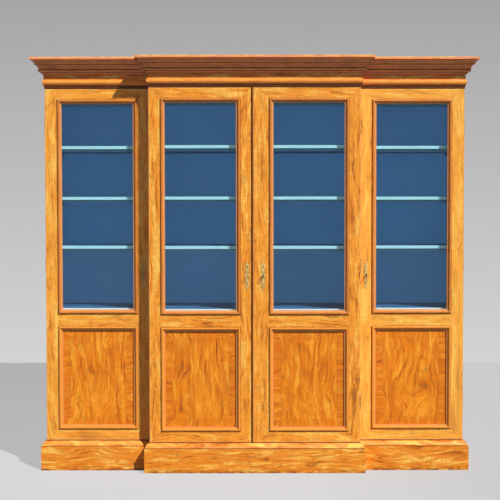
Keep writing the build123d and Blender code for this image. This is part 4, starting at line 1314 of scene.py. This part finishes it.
class BOOKCASE_OT_drive_screws(bpy.types.Operator):
    """Drive the screws of the hinges, locks and edge plates"""

    bl_idname = "bookcase.drive_screws"
    bl_label = "Drive Screws"

    def execute(self, context):
        metals = context.scene.bookcase_metal
        radius = metals.screw_radius
        spins = iter(np.random.default_rng(7).uniform(0.0, math.pi, 200))
        heads = metal_finish("brass_screws", metals.brass, dimmed(metals.brass, 0.6), 0.24, 0.4, slotted=0.0004)
        keep = box_middle(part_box("left_wing_lock_bolt"), 2)
        fixed = Shape()
        for door in DOORS:
            shape = Shape()
            edge, way, depth, feet = hinge_places(door)
            for foot in feet:
                for share, inset in HINGE_SCREWS:
                    x, z = edge - way * inset, foot + share * HINGE_LENGTH
                    screw_head(shape, (x, depth - 0.15 * MM, z), BACK, radius, 0.08 * MM, next(spins))
                    screw_head(fixed, (x, depth + 0.15 * MM, z), FRONT, radius, 0.08 * MM, next(spins))
            if door != "centre_left_door":
                low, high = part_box(f"{door}_lock")
                for x in (low[0] + 5.0 * MM, high[0] - 5.0 * MM):
                    for z in (low[2] + 6.0 * MM, high[2] - 6.0 * MM):
                        screw_head(shape, (x, high[1], z), BACK, radius, 0.45 * MM, next(spins))
            else:
                low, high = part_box(f"{door}_edge_plates")
                for y, z in ((low[1] + 9.0 * MM, low[2] + 8.0 * MM), (low[1] + 9.0 * MM, low[2] + 112.0 * MM),
                             (low[1] + 9.0 * MM, high[2] - 8.0 * MM), (low[1] + 9.0 * MM, high[2] - 112.0 * MM),
                             (high[1] - 9.0 * MM, keep - 22.0 * MM), (high[1] - 9.0 * MM, keep + 22.0 * MM)):
                    screw_head(shape, (high[0], y, z), (1.0, 0.0, 0.0), radius * 0.8, 0.2 * MM, next(spins))
            shape.piece(f"{door}_screws", door, "aged_brass", heads)
        fixed.piece("case_hinge_screws", "case", "aged_brass", heads)
        return {"FINISHED"}


# Stage


def sun_lamp(name, turn, rise, softness, strength, colour=WHITE, mirrored=False, shadow=True, lights=(), omits=()):
    """A soft lamp far away, whose light comes from a turn to the right of the front and a rise.

    It lights only some pieces, or all but some, when they are given.
    """
    data = bpy.data.lights.new(name, "SUN")
    data.angle, data.energy, data.color, data.use_shadow = softness, strength, colour, shadow
    lamp = bpy.data.objects.new(name, data)
    place = Vector((math.sin(turn) * math.cos(rise), -math.cos(turn) * math.cos(rise), math.sin(rise)))
    lamp.location = place * LAMP_DISTANCE
    lamp.rotation_euler = (-place).to_track_quat("-Z", "Y").to_euler()
    lamp.visible_glossy = lamp.visible_transmission = mirrored
    bpy.context.scene.collection.objects.link(lamp)
    if lights or omits:
        receivers = bpy.data.collections.new(f"{name}_receivers")
        for piece in (*lights, *omits):
            receivers.objects.link(piece)
        for entry in receivers.collection_objects if omits else ():
            entry.light_linking.link_state = "EXCLUDE"
        lamp.light_linking.receiver_collection = receivers


def stage_sheet(name, points, material):
    """A flat sheet on a grid of points, for the stage."""
    rows, columns = points.shape[:2]
    index = np.arange(rows * columns).reshape(rows, columns)
    mesh = bpy.data.meshes.new(name)
    mesh.from_pydata(points.reshape(-1, 3).tolist(), [], quads(index).tolist())
    mesh.materials.append(material)
    sheet = bpy.data.objects.new(name, mesh)
    bpy.context.scene.collection.objects.link(sheet)
    return sheet


def floor_finish(settings):
    """Plain floor that keeps part of each shadow, and is duller to the right and far away."""
    finish = Finish("floor_paint", MATT)
    x, y, _ = finish.apart(finish.place)
    dim = finish.greater(finish.spread(y, 0.0, 3.8) * 0.68, finish.math("DIVIDE", x - 0.35, 0.9, clamp=True))
    base = [value * share for value, share in zip(settings.floor, (0.645, 0.665, 0.69))]
    finish.feed(finish.shader.inputs["Base Color"], finish.mix(dim, base, dimmed(base, 0.905)))
    paint = finish.mix(dim, settings.floor, dimmed(settings.floor, 0.905))
    glow = finish.out("ShaderNodeEmission", {"Color": paint, "Strength": 1.0})
    dull = finish.out("ShaderNodeBsdfDiffuse", {"Color": dimmed(settings.floor, 0.28)})
    plain = finish.mix_shader(finish.ray("Diffuse"), finish.surface, dull)
    return finish.show(finish.mix_shader(finish.seen_ray() * 0.622, plain, glow))


def wall_finish(settings):
    """Plain wall, paler near the floor, that is clear from behind."""
    finish = Finish("wall_paint", {"Base Color": settings.wall_head, **MATT})
    _, _, z = finish.apart(finish.place)
    colour = finish.mix(finish.math("DIVIDE", z, 3.4, clamp=True), settings.wall_foot, settings.wall_head)
    glow = finish.out("ShaderNodeEmission", {"Color": colour, "Strength": 1.0})
    shown = finish.mix_shader(finish.seen_ray(), finish.surface, glow)
    behind = finish.out("ShaderNodeNewGeometry", None, "Backfacing")
    return finish.show(finish.mix_shader(behind, shown, finish.out("ShaderNodeBsdfTransparent")))


def stage_world(settings):
    """Even light from all round, seen as a plain backdrop that is darker behind the camera."""
    world = bpy.data.worlds.new("studio")
    world.use_nodes = True
    world.node_tree.nodes.clear()
    sheet = Sheet(world.node_tree)
    _, y, _ = sheet.apart(sheet.out("ShaderNodeTexCoord", None, "Generated"))
    colour = sheet.mix(sheet.spread(y, -0.3, 0.25), settings.studio_front, settings.studio)
    light = sheet.out("ShaderNodeBackground", {"Color": WHITE, "Strength": settings.ambient})
    shown = sheet.out("ShaderNodeBackground", {"Color": colour, "Strength": 1.0})
    sheet.add("ShaderNodeOutputWorld", {"Surface": sheet.mix_shader(sheet.seen_ray(), light, shown)})
    bpy.context.scene.world = world


class BOOKCASE_OT_set_stage(bpy.types.Operator):
    """Lay the floor, raise the wall, hang the lamps and stand the camera where the photograph was taken"""

    bl_idname = "bookcase.set_stage"
    bl_label = "Set Stage"

    def execute(self, context):
        scene = context.scene
        settings = scene.bookcase_stage
        scene.view_settings.view_transform = "Standard"
        across, along = np.meshgrid(np.linspace(-40.0, 40.0, 9), np.linspace(-40.0, 40.0, 9))
        floor = stage_sheet("floor", np.stack([across, along, np.zeros_like(across)], axis=2),
                            floor_finish(settings))
        floor.visible_glossy = False
        across, up = np.meshgrid(np.linspace(-14.0, 14.0, 9), np.linspace(0.0, 7.0, 5))
        wall = stage_sheet("wall", np.stack([across, np.full_like(across, settings.wall_place), up], axis=2),
                           wall_finish(settings))
        wall.visible_shadow = False
        stage_world(settings)
        nodes, rad = frame["nodes"], math.radians
        sun_lamp("key_lamp", settings.key_turn, settings.key_rise, settings.key_softness, settings.key_strength,
                 (1.0, 0.98, 0.95), mirrored=True, omits=[floor, wall])
        sun_lamp("floor_lamp", settings.floor_turn, settings.floor_rise, settings.key_softness,
                 settings.floor_strength, lights=[floor])
        sun_lamp("front_fill", 0.0, rad(6.0), rad(30.0), settings.front_strength)
        sun_lamp("inside_fill", 0.0, 0.0, rad(10.0), settings.inside_strength, shadow=False,
                 lights=[nodes["back_boards"], bpy.data.objects["back_tongues"]])
        sun_lamp("shelf_fill", 0.0, 0.0, rad(10.0), settings.shelf_strength, shadow=False,
                 lights=[nodes[name] for name in (*SHELVES, "shelf_bearers", "case_tops")])
        sun_lamp("left_fill", rad(-100.0), rad(22.0), rad(25.0), settings.fill_strength * 0.6,
                 (0.95, 0.97, 1.0), mirrored=True)
        sun_lamp("back_fill", rad(160.0), rad(40.0), rad(25.0), settings.fill_strength, mirrored=True)
        data = bpy.data.cameras.new("photo_camera")
        data.lens = settings.lens
        data.sensor_width = 36.0
        data.sensor_fit = "HORIZONTAL"
        camera = bpy.data.objects.new("photo_camera", data)
        camera.location = settings.camera_place
        camera.rotation_euler = (rad(90.0) - settings.camera_fall, rad(0.05), rad(-0.04))
        scene.collection.objects.link(camera)
        scene.camera = camera
        return {"FINISHED"}


class BOOKCASE_PT_panel(bpy.types.Panel):
    """Buttons that finish the bookcase, in order"""

    bl_idname = "BOOKCASE_PT_panel"
    bl_label = "Bookcase"
    bl_space_type = "VIEW_3D"
    bl_region_type = "UI"
    bl_category = "Bookcase"

    def draw(self, context):
        for operator in OPERATORS:
            self.layout.operator(operator.bl_idname)


OPERATORS = (
    BOOKCASE_OT_finish_doors,
    BOOKCASE_OT_mould_doors,
    BOOKCASE_OT_finish_case,
    BOOKCASE_OT_run_cornice,
    BOOKCASE_OT_paint_inside,
    BOOKCASE_OT_glaze,
    BOOKCASE_OT_finish_metalwork,
    BOOKCASE_OT_forge_keys,
    BOOKCASE_OT_drive_screws,
    BOOKCASE_OT_set_stage,
)
SETTINGS = {
    "bookcase_wood": BookcaseWoodSettings,
    "bookcase_paint": BookcasePaintSettings,
    "bookcase_metal": BookcaseMetalSettings,
    "bookcase_stage": BookcaseStageSettings,
}


def register():
    """Add the settings, operators and panel."""
    for cls in (*SETTINGS.values(), *OPERATORS, BOOKCASE_PT_panel):
        bpy.utils.register_class(cls)
    for name, cls in SETTINGS.items():
        setattr(bpy.types.Scene, name, PointerProperty(type=cls))


def unregister():
    """Take the settings, operators and panel away."""
    for name in SETTINGS:
        delattr(bpy.types.Scene, name)
    for cls in (BOOKCASE_PT_panel, *reversed(OPERATORS), *SETTINGS.values()):
        bpy.utils.unregister_class(cls)


def main():
    """Register the add-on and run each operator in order."""
    register()
    for operator in OPERATORS:
        group, name = operator.bl_idname.split(".")
        getattr(getattr(bpy.ops, group), name)()
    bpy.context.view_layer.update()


if __name__ == "__main__":
    main()
